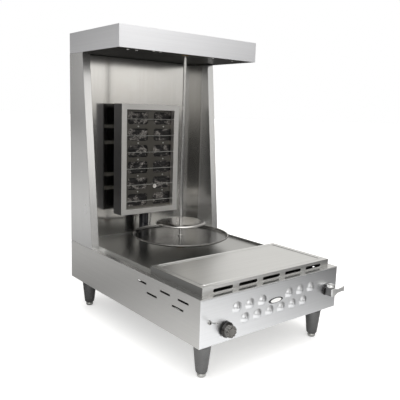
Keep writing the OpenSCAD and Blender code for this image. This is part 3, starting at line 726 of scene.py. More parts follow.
HEATER_LOW, HEATER_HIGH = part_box("heater_frame")
HEATER_MID = tuple((HEATER_LOW + HEATER_HIGH) / 2)
SPIT_LOW, SPIT_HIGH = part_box("spit_rod")
SPIT_MID = tuple((SPIT_LOW + SPIT_HIGH) / 2)

FRONT_STEEL = BrushedSteel("front_brushed_steel", grain=Grain.ALONG_X, tint=(0.82, 0.83, 0.845), rough=0.33)
SIDE_STEEL = BrushedSteel("side_brushed_steel", grain=Grain.ALONG_Y, tint=(0.74, 0.735, 0.72), rough=0.33)
TOP_STEEL = BrushedSteel("top_brushed_steel", grain=Grain.ALONG_X, rough=0.26)
# The deck's ends carry painted shade, a copy of the tint at 0.35.
DECK_STEEL = BrushedSteel(
    "deck_brushed_steel", grain=Grain.ALONG_X, rough=0.34, tint=(0.76, 0.76, 0.745), painted_end_shade=0.35
)
COLUMN_STEEL = BrushedSteel(
    "column_brushed_steel", grain=Grain.ALONG_Z, rough=0.26, tint=(0.72, 0.72, 0.72),
    stain=0.2, stain_centre=HEATER_MID, stain_reach=0.4,
)
BACK_STEEL = BrushedSteel(
    "back_polished_steel", grain=Grain.ALONG_Z, rough=0.13, tint=(0.58, 0.575, 0.56), marks=0.6,
    stain=0.5, stain_centre=HEATER_MID, stain_reach=0.45,
)
WELL_STEEL = BrushedSteel(
    "well_polished_steel", grain=Grain.ALONG_X, rough=0.3, tint=(0.5, 0.5, 0.485), marks=0.5
)
CANOPY_STEEL = BrushedSteel("canopy_brushed_steel", grain=Grain.ALONG_X, rough=0.28, tint=(0.86, 0.87, 0.9))
LINER_STEEL = BrushedSteel(
    "canopy_liner_steel", grain=Grain.ALONG_Y, rough=0.3, tint=(0.1, 0.097, 0.09), marks=1.0
)
HEATER_STEEL = BrushedSteel(
    "heater_frame_steel", grain=Grain.ALONG_X, rough=0.42, tint=(0.86, 0.85, 0.83),
    stain=0.25, stain_centre=HEATER_MID, stain_reach=0.25,
)
HOUSING_STEEL = BrushedSteel("heater_housing_steel", grain=Grain.ALONG_Z, rough=0.34, tint=(0.2, 0.2, 0.21))
BURNER_STEEL = BrushedSteel(
    "burner_face_steel", grain=Grain.ALONG_X, rough=0.4, tint=(0.15, 0.146, 0.135),
    stain=0.6, stain_centre=HEATER_MID, stain_reach=0.3, marks=0.9,
)
ZINC = BrushedSteel("zinc_plate", grain=Grain.ALONG_X, rough=0.38, tint=(0.6, 0.6, 0.58), marks=1.0)
# Pale zinc with its tint raised as painted light: the straps face the back panel and get only bounce light.
STRAP_PAINTED_LIGHT_ZINC = CastMetal("strap_zinc_plate_painted_light", tint=(0.9, 0.9, 0.88), rough=0.6, metallic=0.25, depth=0.00003)
# Painted reflection: the pan's steel is tinted dark to stand in for the dark things it mirrors; its rolled
# rim keeps a lighter copy of the same steel.
PAN_PAINTED_DARK_STEEL = SpunSteel("pan_spun_steel_painted_dark_reflection", centre=SPIT_MID, tint=(0.17, 0.167, 0.16), rough=0.16)
DISC_STEEL = SpunSteel("disc_spun_steel", centre=SPIT_MID, tint=(0.42, 0.41, 0.395), rough=0.16)
ROD_STEEL = SpunSteel("rod_bright_steel", centre=SPIT_MID, tint=(0.8, 0.79, 0.77), rough=0.2)
WIRE_STEEL = CastMetal("guard_wire_steel", tint=(0.42, 0.42, 0.4), rough=0.3, scale=1500.0, depth=0.00002)
LEG_METAL = CastMetal("leg_die_casting", tint=(0.19, 0.19, 0.19), rough=0.24, depth=0.00004)
FOOT_METAL = CastMetal("foot_plated_casting", tint=(0.6, 0.6, 0.58), rough=0.3, depth=0.00003)
LEVER_METAL = CastMetal("lever_casting", tint=(0.95, 0.95, 0.94), rough=0.5, depth=0.00004)
COCK_METAL = CastMetal("cock_forging", tint=(0.2, 0.2, 0.2), rough=0.38, depth=0.0001)
CAP_METAL = CastMetal("cock_cap_plating", tint=(0.9, 0.9, 0.88), rough=0.25, depth=0.00004)
GRIP_METAL = CastMetal("knob_grip_plating", tint=(0.2, 0.195, 0.185), rough=0.16, depth=0.00003)
SWITCH_METAL = CastMetal("switch_nickel", tint=(0.5, 0.5, 0.49), rough=0.24, depth=0.00002)
BRONZE = CastMetal("sintered_bronze", tint=(0.5, 0.33, 0.16), rough=0.42, depth=0.00005)
BRASS = CastMetal("valve_brass", tint=(0.62, 0.45, 0.18), rough=0.34, depth=0.00005)
BLACK_IRON = CastMetal("black_gas_pipe", tint=(0.06, 0.06, 0.062), rough=0.5, metallic=0.7, depth=0.0001)
CAST_IRON = CastMetal("burner_cast_iron", tint=(0.03, 0.03, 0.032), rough=0.55, metallic=0.6, depth=0.0002)
CASE_PAINT = CastMetal("gearbox_paint", tint=(0.12, 0.15, 0.18), rough=0.4, metallic=0.0, coat=0.3)
MOTOR_PAINT = CastMetal("motor_enamel", tint=(0.03, 0.03, 0.032), rough=0.35, metallic=0.0, coat=0.4)
POST_ENAMEL = Moulding("post_gloss_enamel", tint=(0.004, 0.004, 0.007), rough=0.1, coat=0.6)
KNOB_PLASTIC = Moulding("knob_black_moulding", tint=(0.006, 0.005, 0.004), rough=0.1, coat=0.0)
RIM_STEEL = SpunSteel("rim_rolled_steel", centre=SPIT_MID, tint=(0.62, 0.61, 0.59), rough=0.2)
ROSE_PLASTIC = Moulding("rose_black_moulding", tint=(0.002, 0.002, 0.002), rough=0.45, coat=0.0)
CERAMIC = Moulding("igniter_ceramic", tint=(0.6, 0.58, 0.55), rough=0.35, coat=0.1)
TILE_CERAMIC = SootedCeramic("radiant_ceramic")


# ---------------------------------------------------------------- dressing CAD nodes


SEAM_REACH = 0.01 * MM
FOLD_ANGLE = 40.0
FACE_WEIGHT = 50


def dress(node: str, finish: Finish, fold: float = 0.0) -> Piece:
    """Gives a CAD node its finish and, on sheet parts, small folded edges.

    Args:
        node: Name of the CAD node.
        finish: Its finish.
        fold: Width of the rounded edges in metres, or zero for none.

    Returns:
        The node's object.
    """
    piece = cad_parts[node]
    piece.data.materials.clear()
    piece.data.materials.append(finish.material())
    if fold > 0:
        weld = piece.modifiers.new("joined_seams", "WELD")
        weld.merge_threshold = SEAM_REACH
        bevel = piece.modifiers.new("folded_edges", "BEVEL")
        bevel.width = fold
        bevel.segments = 2
        bevel.limit_method = "ANGLE"
        bevel.angle_limit = math.radians(FOLD_ANGLE)
        bevel.use_clamp_overlap = True
        even = piece.modifiers.new("even_shading", "WEIGHTED_NORMAL")
        even.weight = FACE_WEIGHT
    LOG.info("dressed %s", node)
    return piece


def dress_each(finish: Finish, fold: float, *nodes: str) -> None:
    """Gives several CAD nodes the same finish and the same folded edges."""
    for node in nodes:
        dress(node, finish, fold)


def seat(piece: Piece, finish: Finish, body: str, slot: str, *nodes: str) -> Piece:
    """Finishes a new piece, seats it on its body and lets it stand for CAD nodes.

    Args:
        piece: The new piece.
        finish: Its finish.
        body: The CAD body it rides on.
        slot: The record's material slot; not used.
        *nodes: CAD nodes that it replaces.

    Returns:
        The piece.
    """
    piece.data.materials.append(finish.material())
    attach(piece, body)
    if nodes:
        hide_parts(*nodes)
    LOG.info("built %s on %s", piece.name, body)
    return piece


def corners(node: str) -> Surface:
    """The lowest and the highest corner of a CAD node's box."""
    low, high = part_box(node)
    return np.array(low), np.array(high)


def centre_of(node: str) -> np.ndarray:
    """The middle of a CAD node's box."""
    low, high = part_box(node)
    return np.array((low + high) / 2)


# ---------------------------------------------------------------- base


@dataclass
class Base:
    """The counter base: pressed front panel, plain sheet walls and ledge."""

    louvre_half: float = 16.5 * MM
    louvre_rise: float = 8 * MM
    louvre_drop: float = 9.5 * MM
    louvre_pitch: float = 46 * MM
    first_high: float = 53 * MM
    first_low: float = 23 * MM
    high_row: float = 44 * MM
    low_row: float = 79 * MM
    fold: float = 1.8 * MM
    sheet: float = 1.5 * MM
    wall: float = 1.2 * MM
    fine: float = 1.1 * MM
    coarse: float = 8 * MM
    mouth_step: float = 1.9 * MM
    louvre_margin: float = 2 * MM
    hole_margin: float = 12 * MM
    holes: tuple[tuple[str, float], ...] = (
        ("valve_stem", 5.5 * MM), ("toggle_switch", 4.2 * MM), ("front_cock", 10 * MM)
    )

    def louvres(self, top: float) -> np.ndarray:
        """Places of the pressed louvres, in two staggered rows on each side of the badge.

        Args:
            top: Height of the base's top.

        Returns:
            Centres as rows of x and z.
        """
        k = np.arange(3) * self.louvre_pitch
        high = np.stack([self.first_high + k, np.full(3, top - self.high_row)], 1)
        low = np.stack([self.first_low + k, np.full(3, top - self.low_row)], 1)
        right = np.concatenate([high, low])
        return np.concatenate([right, right * (-1, 1)])

    def lines(self, low: float, high: float, fine_spans: list[tuple[float, float]]) -> np.ndarray:
        """Grid lines: close together in the fine spans and at both folds, wide apart elsewhere.

        Args:
            low: Start of the panel.
            high: End of the panel.
            fine_spans: Start and end of each fine span.

        Returns:
            Places of the lines, in order.
        """
        rim = self.fold * np.array([0.0, 0.12, 0.3, 0.55, 0.8, 1.0])
        first, last = low + self.fold, high - self.fold
        parts = [low + rim, high - rim, np.arange(first, last, self.coarse)]
        parts += [np.arange(max(a, first), min(b, last), self.fine) for a, b in fine_spans]
        every = np.unique(np.concatenate(parts).round(6))
        return every[np.concatenate([[True], np.diff(every) > 0.15 * MM])]

    def front(self) -> Piece:
        """Pressed front panel.

        Depth over the (x, z) grid is the fold at the rim, r - sqrt(r^2 - (r-d)^2)
        for a distance d from the edge, less the domes, each of height
        rise * (1 - q)^1.4 where q is the squared reach from the
        dome's centre over its half width. Cells where a dome drops to the sheet
        at its lower edge are left open.

        Returns:
            The panel.
        """
        low, high = corners("front_panel")
        top = float(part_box("top_frame")[1].z)
        holes = [(centre_of(node), radius) for node, radius in self.holes]
        centres = self.louvres(top)
        reach = self.louvre_half + self.louvre_margin
        spans_x = [(centres[:, 0].min() - reach, centres[:, 0].max() + reach)]
        spans_z = [(centres[:, 1].min() - reach, centres[:, 1].max() + reach)]
        spans_x += [(c[0] - self.hole_margin, c[0] + self.hole_margin) for c, _ in holes]
        spans_z += [(c[2] - self.hole_margin, c[2] + self.hole_margin) for c, _ in holes]
        xs, zs = self.lines(low[0], high[0], spans_x), self.lines(low[2], high[2], spans_z)
        x, z = np.meshgrid(xs, zs, indexing="ij")
        edge = np.minimum.reduce([x - low[0], high[0] - x, z - low[2], high[2] - z])
        inset = np.clip(self.fold - edge, 0, self.fold)
        back = self.fold - np.sqrt(np.maximum(self.fold**2 - inset**2, 0))
        lift = np.zeros_like(x)
        for cx, cz in centres:
            q = np.clip(((x - cx) ** 2 + (z - cz) ** 2) / self.louvre_half**2, 0, 1)
            dome = self.louvre_rise * (1 - q) ** 1.4
            lift = np.maximum(lift, np.where(z > cz - self.louvre_drop, dome, 0.0))
        face_y = high[1] - self.sheet
        points = np.stack([x, face_y + back - lift, z], -1)
        faces = grid_faces(len(xs), len(zs), False, False)
        corner_lift = lift.reshape(-1)[faces]
        open_mouth = corner_lift.max(1) - corner_lift.min(1) > self.mouth_step
        mid = points.reshape(-1, 3)[faces].mean(1)
        hole = np.zeros(len(faces), bool)
        for c, radius in holes:
            hole |= (mid[:, 0] - c[0]) ** 2 + (mid[:, 2] - c[2]) ** 2 < radius**2
        panel = make_piece("pressed_front_panel", points, faces[~(open_mouth | hole)], sharp=50.0)
        wall = panel.modifiers.new("sheet_thickness", "SOLIDIFY")
        wall.thickness = self.wall
        wall.offset = -1.0
        return seat(panel, FRONT_STEEL, "base", "panel_steel", "front_panel")

    def build(self) -> None:
        """Builds and dresses the base."""
        self.front()
        dress_each(SIDE_STEEL, 0.0, "left_side_panel", "right_side_panel")
        dress("rear_panel", FRONT_STEEL, 0.5 * MM)
        dress("top_frame", TOP_STEEL, 0.6 * MM)
        dress("rear_well", WELL_STEEL, 1.2 * MM)
        dress_each(ZINC, 0.0, "base_pan", "leg_nuts")
        dress("motor_bracket", ZINC, 0.6 * MM)
        dress("gearbox", CASE_PAINT, 2.0 * MM)
        dress("motor", MOTOR_PAINT, 1.0 * MM)
        dress_each(BLACK_IRON, 0.0, "inlet_pipe", "deck_burner")
        dress("gas_valve", BRASS, 0.8 * MM)
        dress("valve_stem", BRASS)
        dress("shaft_bush", BRONZE, 0.4 * MM)


@dataclass
class Legs:
    """Four die-cast legs and their levelling feet, all turned from one profile each."""

    places: tuple[str, ...] = ("front_left", "front_right", "rear_left", "rear_right")

    def leg(self, corner: str) -> Piece:
        """Tapered leg: a plain collar on top, a groove under it and a cone down to a chamfered end.

        Args:
            corner: Which corner of the base it stands under.

        Returns:
            The leg.
        """
        low, high = corners(f"leg_{corner}")
        x, y = (low[:2] + high[:2]) / 2
        top = float(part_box("base_pan")[0].z)
        outline = outline_of(
            ([(6.2, 0), (13, 0), (15.6, 2.4), (17.2, 12)], 0, low[2]),
            ([(23.6, -17), (23.2, -15.6)], 0, top),
            ([(-1.6, -14.6), (-0.6, -12), (0, -1), (-0.8, 0)], (high[0] - low[0]) / 2, top),
            ([(6.2, 0)], 0, top),
        )
        cuts = [0, 1.2, 1.4, 3, 1.2, 0.6, 1, 1.6, 0.5, 0.5, 0]
        piece = spun(f"leg_casting_{corner}", outline, cuts, (x, y, 0.0))
        return seat(piece, LEG_METAL, "base", "leg_metal", f"leg_{corner}")

    def foot(self, corner: str) -> Piece:
        """Round levelling foot with a full lower edge and a screwed stem.

        Args:
            corner: Which leg it screws into.

        Returns:
            The foot.
        """
        low, high = corners(f"foot_{corner}")
        x, y = (low[:2] + high[:2]) / 2
        outline = outline_of(
            ([(0, 0)], 0, 0),
            ([(-2.4, 0), (0, 3), (0, 8.6), (-1.6, 10.8)], (high[0] - low[0]) / 2, 0),
            ([(6, 10.9)], 0, 0),
            ([(6, 0), (0, 0)], 0, high[2]),
        )
        piece = spun(f"foot_casting_{corner}", outline, [0, 1.4, 1.6, 1, 0.6, 0, 0.5, 0], (x, y, 0.0))
        return seat(piece, FOOT_METAL, f"foot_{corner}_body", "foot_metal", f"foot_{corner}")

    def build(self) -> None:
        """Builds all legs and feet."""
        for corner in self.places:
            self.leg(corner)
            self.foot(corner)


@dataclass
class Hood:
    """Side columns, back, canopy and the top bearing inside it."""

    fold: float = 1.0 * MM
    screws: tuple[tuple[float, float], ...] = (
        (-206, 96), (-176, 96), (-128, 76), (-104, 76), (104, 76), (206, 96)
    )

    def underside_screws(self) -> Piece:
        """Pan heads under the canopy's closing sheet: domes cut by a ring, on short shanks."""
        level = float(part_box("canopy_liner")[0].z)
        profile = rounded(
            np.array([[0, 3.4], [2.4, 3.4], [2.4, 0.2], [5, 0.2], [5, -1.0], [3.4, -2.4], [0, -2.6]]) * MM,
            np.array([0, 0, 0, 0.2, 1, 1, 0]) * MM,
        )
        parts = [turned(profile, (x * MM, y * MM, level), steps=28) for x, y in self.screws]
        return seat(make_piece("canopy_underside_screws", *joined(*parts)), ROD_STEEL, "base", "zinc")

    def build(self) -> None:
        """Dresses the sheet parts of the hood."""
        dress_each(COLUMN_STEEL, self.fold, "left_column", "right_column")
        dress("back_panel", BACK_STEEL)
        dress("rear_cover", SIDE_STEEL)
        dress("canopy_shell", CANOPY_STEEL, self.fold)
        dress("canopy_liner", LINER_STEEL)
        self.underside_screws()
        dress_each(ZINC, 0.0, "rear_cover_screws", "bearing_plate")
        dress("top_bearing", BRONZE)


@dataclass
class Spit:
    """Turning parts: drive shaft, drip pan, rod and meat disc."""

    steps: int = 128
    pan_sheet: float = 1.2
    pan_lip: float = 1.6
    disc_sheet: float = 1.5
    roll_radius: float = 2.2 * MM
    roll_inset: float = 2.3 * MM

    def pan(self) -> Piece:
        """Drip pan: flat floor, a soft turn up into a flared wall and a rolled lip, with a painted dark
        reflection in its steel.
        """
        low, high = corners("drip_pan")
        x, y = (low[:2] + high[:2]) / 2
        r, z0, z1 = (high[0] - low[0]) / 2, low[2], high[2]
        lip = self.pan_lip
        outline = outline_of(
            ([(8.3, 0)], 0, z0),
            ([(-9, 0)], r, z0),
            ([(-3, -3.4), (-0.1, -2.6), (0, -0.9), (-lip, 0), (-2 * lip, -0.9), (-4.4, -3)], r, z1),
            ([(-9.8, self.pan_sheet)], r, z0),
            ([(8.3, self.pan_sheet)], 0, z0),
        )
        cuts = [0, 5, 1, 1.2, 1.2, 1.4, 1.2, 1, 5, 0]
        a = np.linspace(0, 2 * np.pi, 17)[:-1]
        middle = (r - self.roll_inset, z1 - self.roll_inset)
        bead = np.stack([np.cos(a), np.sin(a)], 1) * self.roll_radius + middle
        roll = make_piece("pan_rolled_rim", *turned(bead, (x, y, 0.0), steps=self.steps))
        seat(roll, RIM_STEEL, "pan", "bright_steel")
        # Painted reflection: the pan's wall and floor take the dark-tinted steel, the rolled rim the
        # lighter one.
        piece = spun("spun_drip_pan", outline, cuts, (x, y, 0.0), steps=self.steps, curve=6, sharp=60.0)
        return seat(piece, PAN_PAINTED_DARK_STEEL, "pan", "well_steel", "drip_pan")

    def disc(self) -> Piece:
        """Meat disc: slightly coned crown, a full round shoulder and a turned-in lip."""
        low, high = corners("meat_disc")
        x, y = (low[:2] + high[:2]) / 2
        r, z0, z1 = (high[0] - low[0]) / 2, low[2], high[2]
        t = self.disc_sheet
        outline = outline_of(
            ([(5.3, 0), (9, 0), (11, -0.5)], 0, z1),
            ([(0, -0.6)], r * 0.5, z1),
            ([(-15, -1.8), (-4.5, -4.2), (0, -8.6)], r, z1),
            ([(-1, 0), (-1 - t, 0)], r, z0),
            ([(-t, -8.4), (-6, -5.8), (-15.4, -3.4)], r, z1),
            ([(11, -2.4)], 0, z1),
            ([(11, 2), (5.3, 2)], 0, z0),
        )
        cuts = [0.2, 0.8, 1, 6, 5, 3.5, 2.2, 0.5, 0.5, 2, 3, 4, 1, 0.6, 0]
        piece = spun("spun_meat_disc", outline, cuts, (x, y, 0.0), steps=self.steps, curve=7, sharp=60.0)
        return seat(piece, DISC_STEEL, "disc", "bright_steel", "meat_disc")

    def build(self) -> None:
        """Builds the turning parts."""
        self.pan()
        self.disc()
        dress("drive_shaft", ROD_STEEL, 0.4 * MM)
        dress("spit_rod", ROD_STEEL)
        dress("disc_screw", ZINC)


@dataclass
class Heater:
    """Radiant heater on its post."""

    columns: int = 2
    rows: int = 6
    gap: float = 24 * MM
    shift: float = 11 * MM
    window: tuple[float, float] = (80 * MM, 42 * MM)
    opening_height: float = 340 * MM
    overlap: float = 3 * MM
    recess: float = 2.4 * MM
    relief: float = 0.63 * MM
    tube_radius: float = 3 * MM
    nut: float = 9 * MM

    def windows(self) -> np.ndarray:
        """Centres of the radiant windows as rows of x and z."""
        mid = (np.array(HEATER_LOW) + np.array(HEATER_HIGH)) / 2
        pitch = self.window[0] + self.gap
        x = mid[0] + self.shift + (np.arange(self.columns) - (self.columns - 1) / 2) * pitch
        z = mid[2] + (np.arange(self.rows) - (self.rows - 1) / 2) * self.opening_height / self.rows
        return np.stack(np.meshgrid(x, z, indexing="ij"), -1).reshape(-1, 2)

    def radiants(self) -> Piece:
        """Crumpled gauze faces of the twelve radiants.

        Each is a grid whose depth is a sum of three crossed waves with the
        window's own phase, fading to the flat rim as (1 - u^8)(1 - v^8).

        Returns:
            The faces as one piece.
        """
        low, high = corners("radiant_tiles")
        w, h = self.window[0] / 2 + self.overlap, self.window[1] / 2 + self.overlap
        u, v = np.meshgrid(np.linspace(-1, 1, 61), np.linspace(-1, 1, 33), indexing="ij")
        fade = (1 - u**8) * (1 - v**8)
        parts = []
        for k, (cx, cz) in enumerate(self.windows()):
            wave = (
                np.sin(7.1 * u + 2.3 * k + 2 * np.sin(3.1 * v + k))
                + 0.8 * np.sin(9.7 * v - 1.9 * k + 1.5 * u)
                + 0.5 * np.sin(15.3 * u + 11.9 * v + k)
            )
            front = np.stack([cx + w * u, low[1] + self.recess - self.relief * wave * fade, cz + h * v], -1)
            rear = np.stack([cx + w * u, np.full_like(u, high[1]), cz + h * v], -1)
            sheet = grid_faces(*u.shape, False, False)
            rim = np.concatenate([
                front[:, 0], front[-1, 1:], front[-2::-1, -1], front[0, -2:0:-1],
                rear[:, 0], rear[-1, 1:], rear[-2::-1, -1], rear[0, -2:0:-1],
            ])
            band = grid_faces(2, len(rim) // 2, False, True)
            parts += [(front.reshape(-1, 3), sheet), (rear.reshape(-1, 3), sheet[:, ::-1]), (rim, band)]
        piece = make_piece("gauze_radiants", *joined(*parts), sharp=70.0)
        return seat(piece, TILE_CERAMIC, "heater", "tile_ceramic", "radiant_tiles")

    def tube(self) -> Piece:
        """Thin tube: its sideways place follows a smooth step from the well to the fitting."""
        low, high = corners("burner_tube")
        y, nut = (low[1] + high[1]) / 2, self.nut
        t = np.linspace(0, 1, 40)
        x0, x1 = low[0] + 3.2 * MM, high[0] - 6.6 * MM
        step = t * t * (3 - 2 * t)
        rise = low[2] + 0.4 * MM + (high[2] - nut / 2 - low[2]) * t
        pipe = swept(np.stack([x0 + (x1 - x0) * step, np.full_like(t, y), rise], 1), self.tube_radius)
        outline = np.array([[0, -nut], [5.2 * MM, -nut], [6.2 * MM, 1 * MM - nut], [6.2 * MM, 0], [0, 0]])
        fitting = turned(rounded(outline, 0.4 * MM), (x1, y, high[2]), steps=6)
        piece = make_piece("bent_burner_tube", *joined(pipe, fitting), sharp=30.0)
        return seat(piece, ROD_STEEL, "heater", "bright_steel", "burner_tube")

    def build(self) -> None:
        """Builds and dresses the heater."""
        self.radiants()
        self.tube()
        dress("heater_frame", HEATER_STEEL, 0.7 * MM)
        dress("heater_housing", HOUSING_STEEL, 0.5 * MM)
        dress("burner_face", BURNER_STEEL, 0.4 * MM)
        dress("burner_body", CAST_IRON, 2.0 * MM)
        dress("guard_rods", WIRE_STEEL)
        dress("igniter", CERAMIC)
        # The rear straps take the zinc lightened as painted light.
        dress("rear_straps", STRAP_PAINTED_LIGHT_ZINC)
        dress_each(ZINC, 0.0, "burner_screws", "pivot_sleeve", "post_socket")
        dress("heater_post", POST_ENAMEL)
        dress("thrust_washer", BRONZE)


@dataclass
class Controls:
    """Knob, toggle switch, front cock with its handle, and the blank badge."""

    steps: int = 96
    flutes: int = 10
    flute_depth: float = 2.6 * MM
    lever_lean: float = 15.0
    sheet: float = 1.5 * MM
    rose: float = 15 * MM
    body_half: tuple[float, float] = (7.2 * MM, 12 * MM)
    handle_length: float = 49.4 * MM
    handle_rise: float = 5.0

    def knob(self) -> None:
        """Dished skirt and a fluted grip on one axis towards the front."""
        low, high = corners("knob_skirt")
        cx, cz = (low[0] + high[0]) / 2, (low[2] + high[2]) / 2
        r, deep = (high[0] - low[0]) / 2, high[1] - low[1]
        outline = outline_of(
            ([(4.2, 0)], 0, 0),
            ([(-1.5, 0), (0, 1.2), (-0.6, 3.6), (-4, 6)], r, 0),
            ([(-5, -1), (-6, 0)], r, deep),
            ([(4.2, 0)], 0, deep),
        )
        cuts = [0, 1, 1, 1.5, 2, 0.6, 0.5, 0]
        skirt = spun("dished_knob_skirt", outline, cuts, (cx, high[1], cz), Axis.FRONT, self.steps)
        seat(skirt, KNOB_PLASTIC, "knob", "knob_black", "knob_skirt")
        low, high = corners("knob_grip")
        r, deep = (high[0] - low[0]) / 2, high[1] - low[1]
        outline = outline_of(
            ([(4.2, 0)], 0, 0),
            ([(0, 0)], r, 0),
            ([(0, -3), (-1.6, -0.6), (-4.5, 0), (-5.5, -1.2)], r, deep),
            ([(0, -1.2)], 0, deep),
            ([(0, 7.4), (4.2, 7.4)], 0, 0),
        )
        cuts = [0, 0.4, 1.2, 1, 0.5, 0.6, 0, 0, 0.3]
        flute = (self.flutes, self.flute_depth, 0.2 * MM, deep)
        grip = spun("fluted_knob_grip", outline, cuts, (cx, high[1], cz), Axis.FRONT, 180, flute=flute)
        seat(grip, GRIP_METAL, "knob", "knob_metal", "knob_grip")

    def toggle(self) -> None:
        """Bat lever: a waisted stem that swells to a round end, leaning up."""
        low, high = corners("toggle_lever")
        ball, tip, base = 2.4 * MM, 2.7 * MM, 1.5 * MM
        length = 25 * MM
        pivot = ((low[0] + high[0]) / 2, high[1] - ball, low[2] + ball)
        t = np.linspace(0, 1, 24)
        stem = np.stack([base + (tip - base) * t**1.6, base + length * t], 1)
        a = np.linspace(0, np.pi / 2, 8)[1:]
        end = np.stack([tip * np.cos(a), base + length - 0.2 * MM + tip * np.sin(a)], 1)
        a = np.linspace(-np.pi / 2, 0.9, 12)
        root = np.stack([ball * np.cos(a), ball * np.sin(a)], 1)
        profile = np.concatenate([root, stem, end])
        shape = turned(profile, pivot, Axis.FRONT, 32, lean=math.radians(self.lever_lean), closed=False)
        seat(make_piece("bat_toggle_lever", *shape), SWITCH_METAL, "toggle", "switch_metal", "toggle_lever")
        dress("toggle_switch", SWITCH_METAL, 0.3 * MM)

    def cock(self) -> None:
        """Rose, rounded body, screwed cap and tail of the cock, and its flared handle."""
        low = corners("front_cock")[0]
        cx, cz = low[0] + self.rose, low[2] + self.rose
        wall = float(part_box("front_panel")[1].y) - self.sheet
        outline = outline_of(([(0, 0), (15, 0), (15, 3), (13, 5), (0, 5)], 0, 0))
        rose = spun("cock_rose", outline, [0, 0.5, 1.2, 1.0, 0], (cx, wall, cz), Axis.FRONT, self.steps)
        seat(rose, ROSE_PLASTIC, "base", "cock_metal")
        wide, tall = self.body_half
        body = soft_block((cx - wide, low[1], cz - tall), (cx + wide, wall - 4.6 * MM, cz + tall), 1.6 * MM)
        run = [(0, 0), (9, 0), (9, -1.5), (15, -1.5), (15, -11.5), (10, -11.5), (10, -62), (0, -62)]
        tail = turned(rounded(outline_of((run, 0, 0)), 0.6 * MM), (cx, wall, cz), Axis.FRONT, 48)
        piece = make_piece("cock_body", *joined(body, tail))
        seat(piece, COCK_METAL, "base", "cock_metal", "front_cock")
        run = [(0, 0), (11, 0), (12.25, 1), (12.25, 6.4), (10.9, 8), (9.3, 8), (8.6, 7.1), (0, 7.1)]
        cuts = [0, 0.4, 0.6, 0.8, 0.8, 0.4, 0.3, 0]
        at = (cx + 5 * MM, wall - 15 * MM, cz + tall)
        cap = spun("cock_cap", outline_of((run, 0, 0)), cuts, at, Axis.UP, self.steps)
        seat(cap, CAP_METAL, "base", "cock_metal")
        self.handle()

    def handle(self) -> Piece:
        """Flared handle.

        Along its length x the half height steps smoothly from the root's 11 mm to
        a 6 mm waist and out again to 9 mm at the tip; across it the outline is a
        superellipse |a|^8 + |b|^8 = 1 scaled to half height and half thickness.

        Returns:
            The handle.
        """
        low, high = corners("cock_lever")
        cock, wide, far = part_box("front_cock"), self.body_half[0], self.handle_length
        cx, cz, y = cock[0].x + self.rose, cock[0].z + self.rose, (low[1] + high[1]) / 2
        rise = math.radians(self.handle_rise)
        x = np.concatenate([[-wide], np.linspace(-wide, far, 60), [far]])[:, None]
        root = np.clip((x - wide) / (10 * MM), 0, 1)
        tip = np.clip((x - 34 * MM) / (15 * MM), 0, 1)
        tall = (11 - 5 * root * root * (3 - 2 * root) + 3 * tip * tip) * MM
        thick = (2.45 - 0.5 * root) * MM * np.ones_like(x)
        cap = np.ones_like(x)
        cap[[0, -1]] = 0.0
        a = np.linspace(0, 2 * np.pi, 64, endpoint=False)[None, :]
        up = np.sign(np.sin(a)) * np.abs(np.sin(a)) ** 0.25 * tall * cap
        out = np.sign(np.cos(a)) * np.abs(np.cos(a)) ** 0.25 * thick * cap
        along = x * np.ones_like(a)
        points = np.stack([
            cx + along * math.cos(rise) - up * math.sin(rise), y + out,
            cz + along * math.sin(rise) + up * math.cos(rise),
        ], -1)
        faces = grid_faces(len(x), a.shape[1], False, True)
        piece = make_piece("cast_cock_handle", points.reshape(-1, 3), faces)
        return seat(piece, LEVER_METAL, "lever", "lever_cast", "cock_lever")

    def badge(self) -> Piece:
        """Blank oval badge: an ellipse whose face swells as 1 - q^6 towards its middle."""
        low, high = corners("badge_plate")
        mid, half = (low + high) / 2, (high - low) / 2
        a = np.linspace(0, 2 * np.pi, 96, endpoint=False)[None, :]
        q = np.array([0.0, 0.2, 0.4, 0.6, 0.76, 0.8, 0.84, 0.9, 0.96, 1.0, 1.0])[:, None]
        swell = (0.35 + 0.65 * (1 - q**6)) * (high[1] - low[1])
        swell[4:8] += np.array([0.0, 0.12, 0.2, 0.1])[:, None] * MM
        swell[-1] = 0.0
        top = low[1] + 0.25 * MM
        y = np.clip(high[1] - swell, top, high[1]) * np.ones_like(a)
        points = np.stack([mid[0] + half[0] * q * np.cos(a), y, mid[2] + half[2] * q * np.sin(a)], -1)
        back = points[-1:].copy()
        centre = np.broadcast_to([mid[0], high[1], mid[2]], back.shape)
        points = np.concatenate([points, centre])
        faces = grid_faces(len(points), a.shape[1], False, True)
        piece = make_piece("blank_oval_badge", points.reshape(-1, 3), faces)
        finish = BadgeFace("badge_enamel", centre=tuple(mid), half=(half[0], half[2]))
        return seat(piece, finish, "base", "badge_face", "badge_plate")

    def build(self) -> None:
        """Builds the controls."""
        self.knob()
        self.toggle()
        self.cock()
        self.badge()


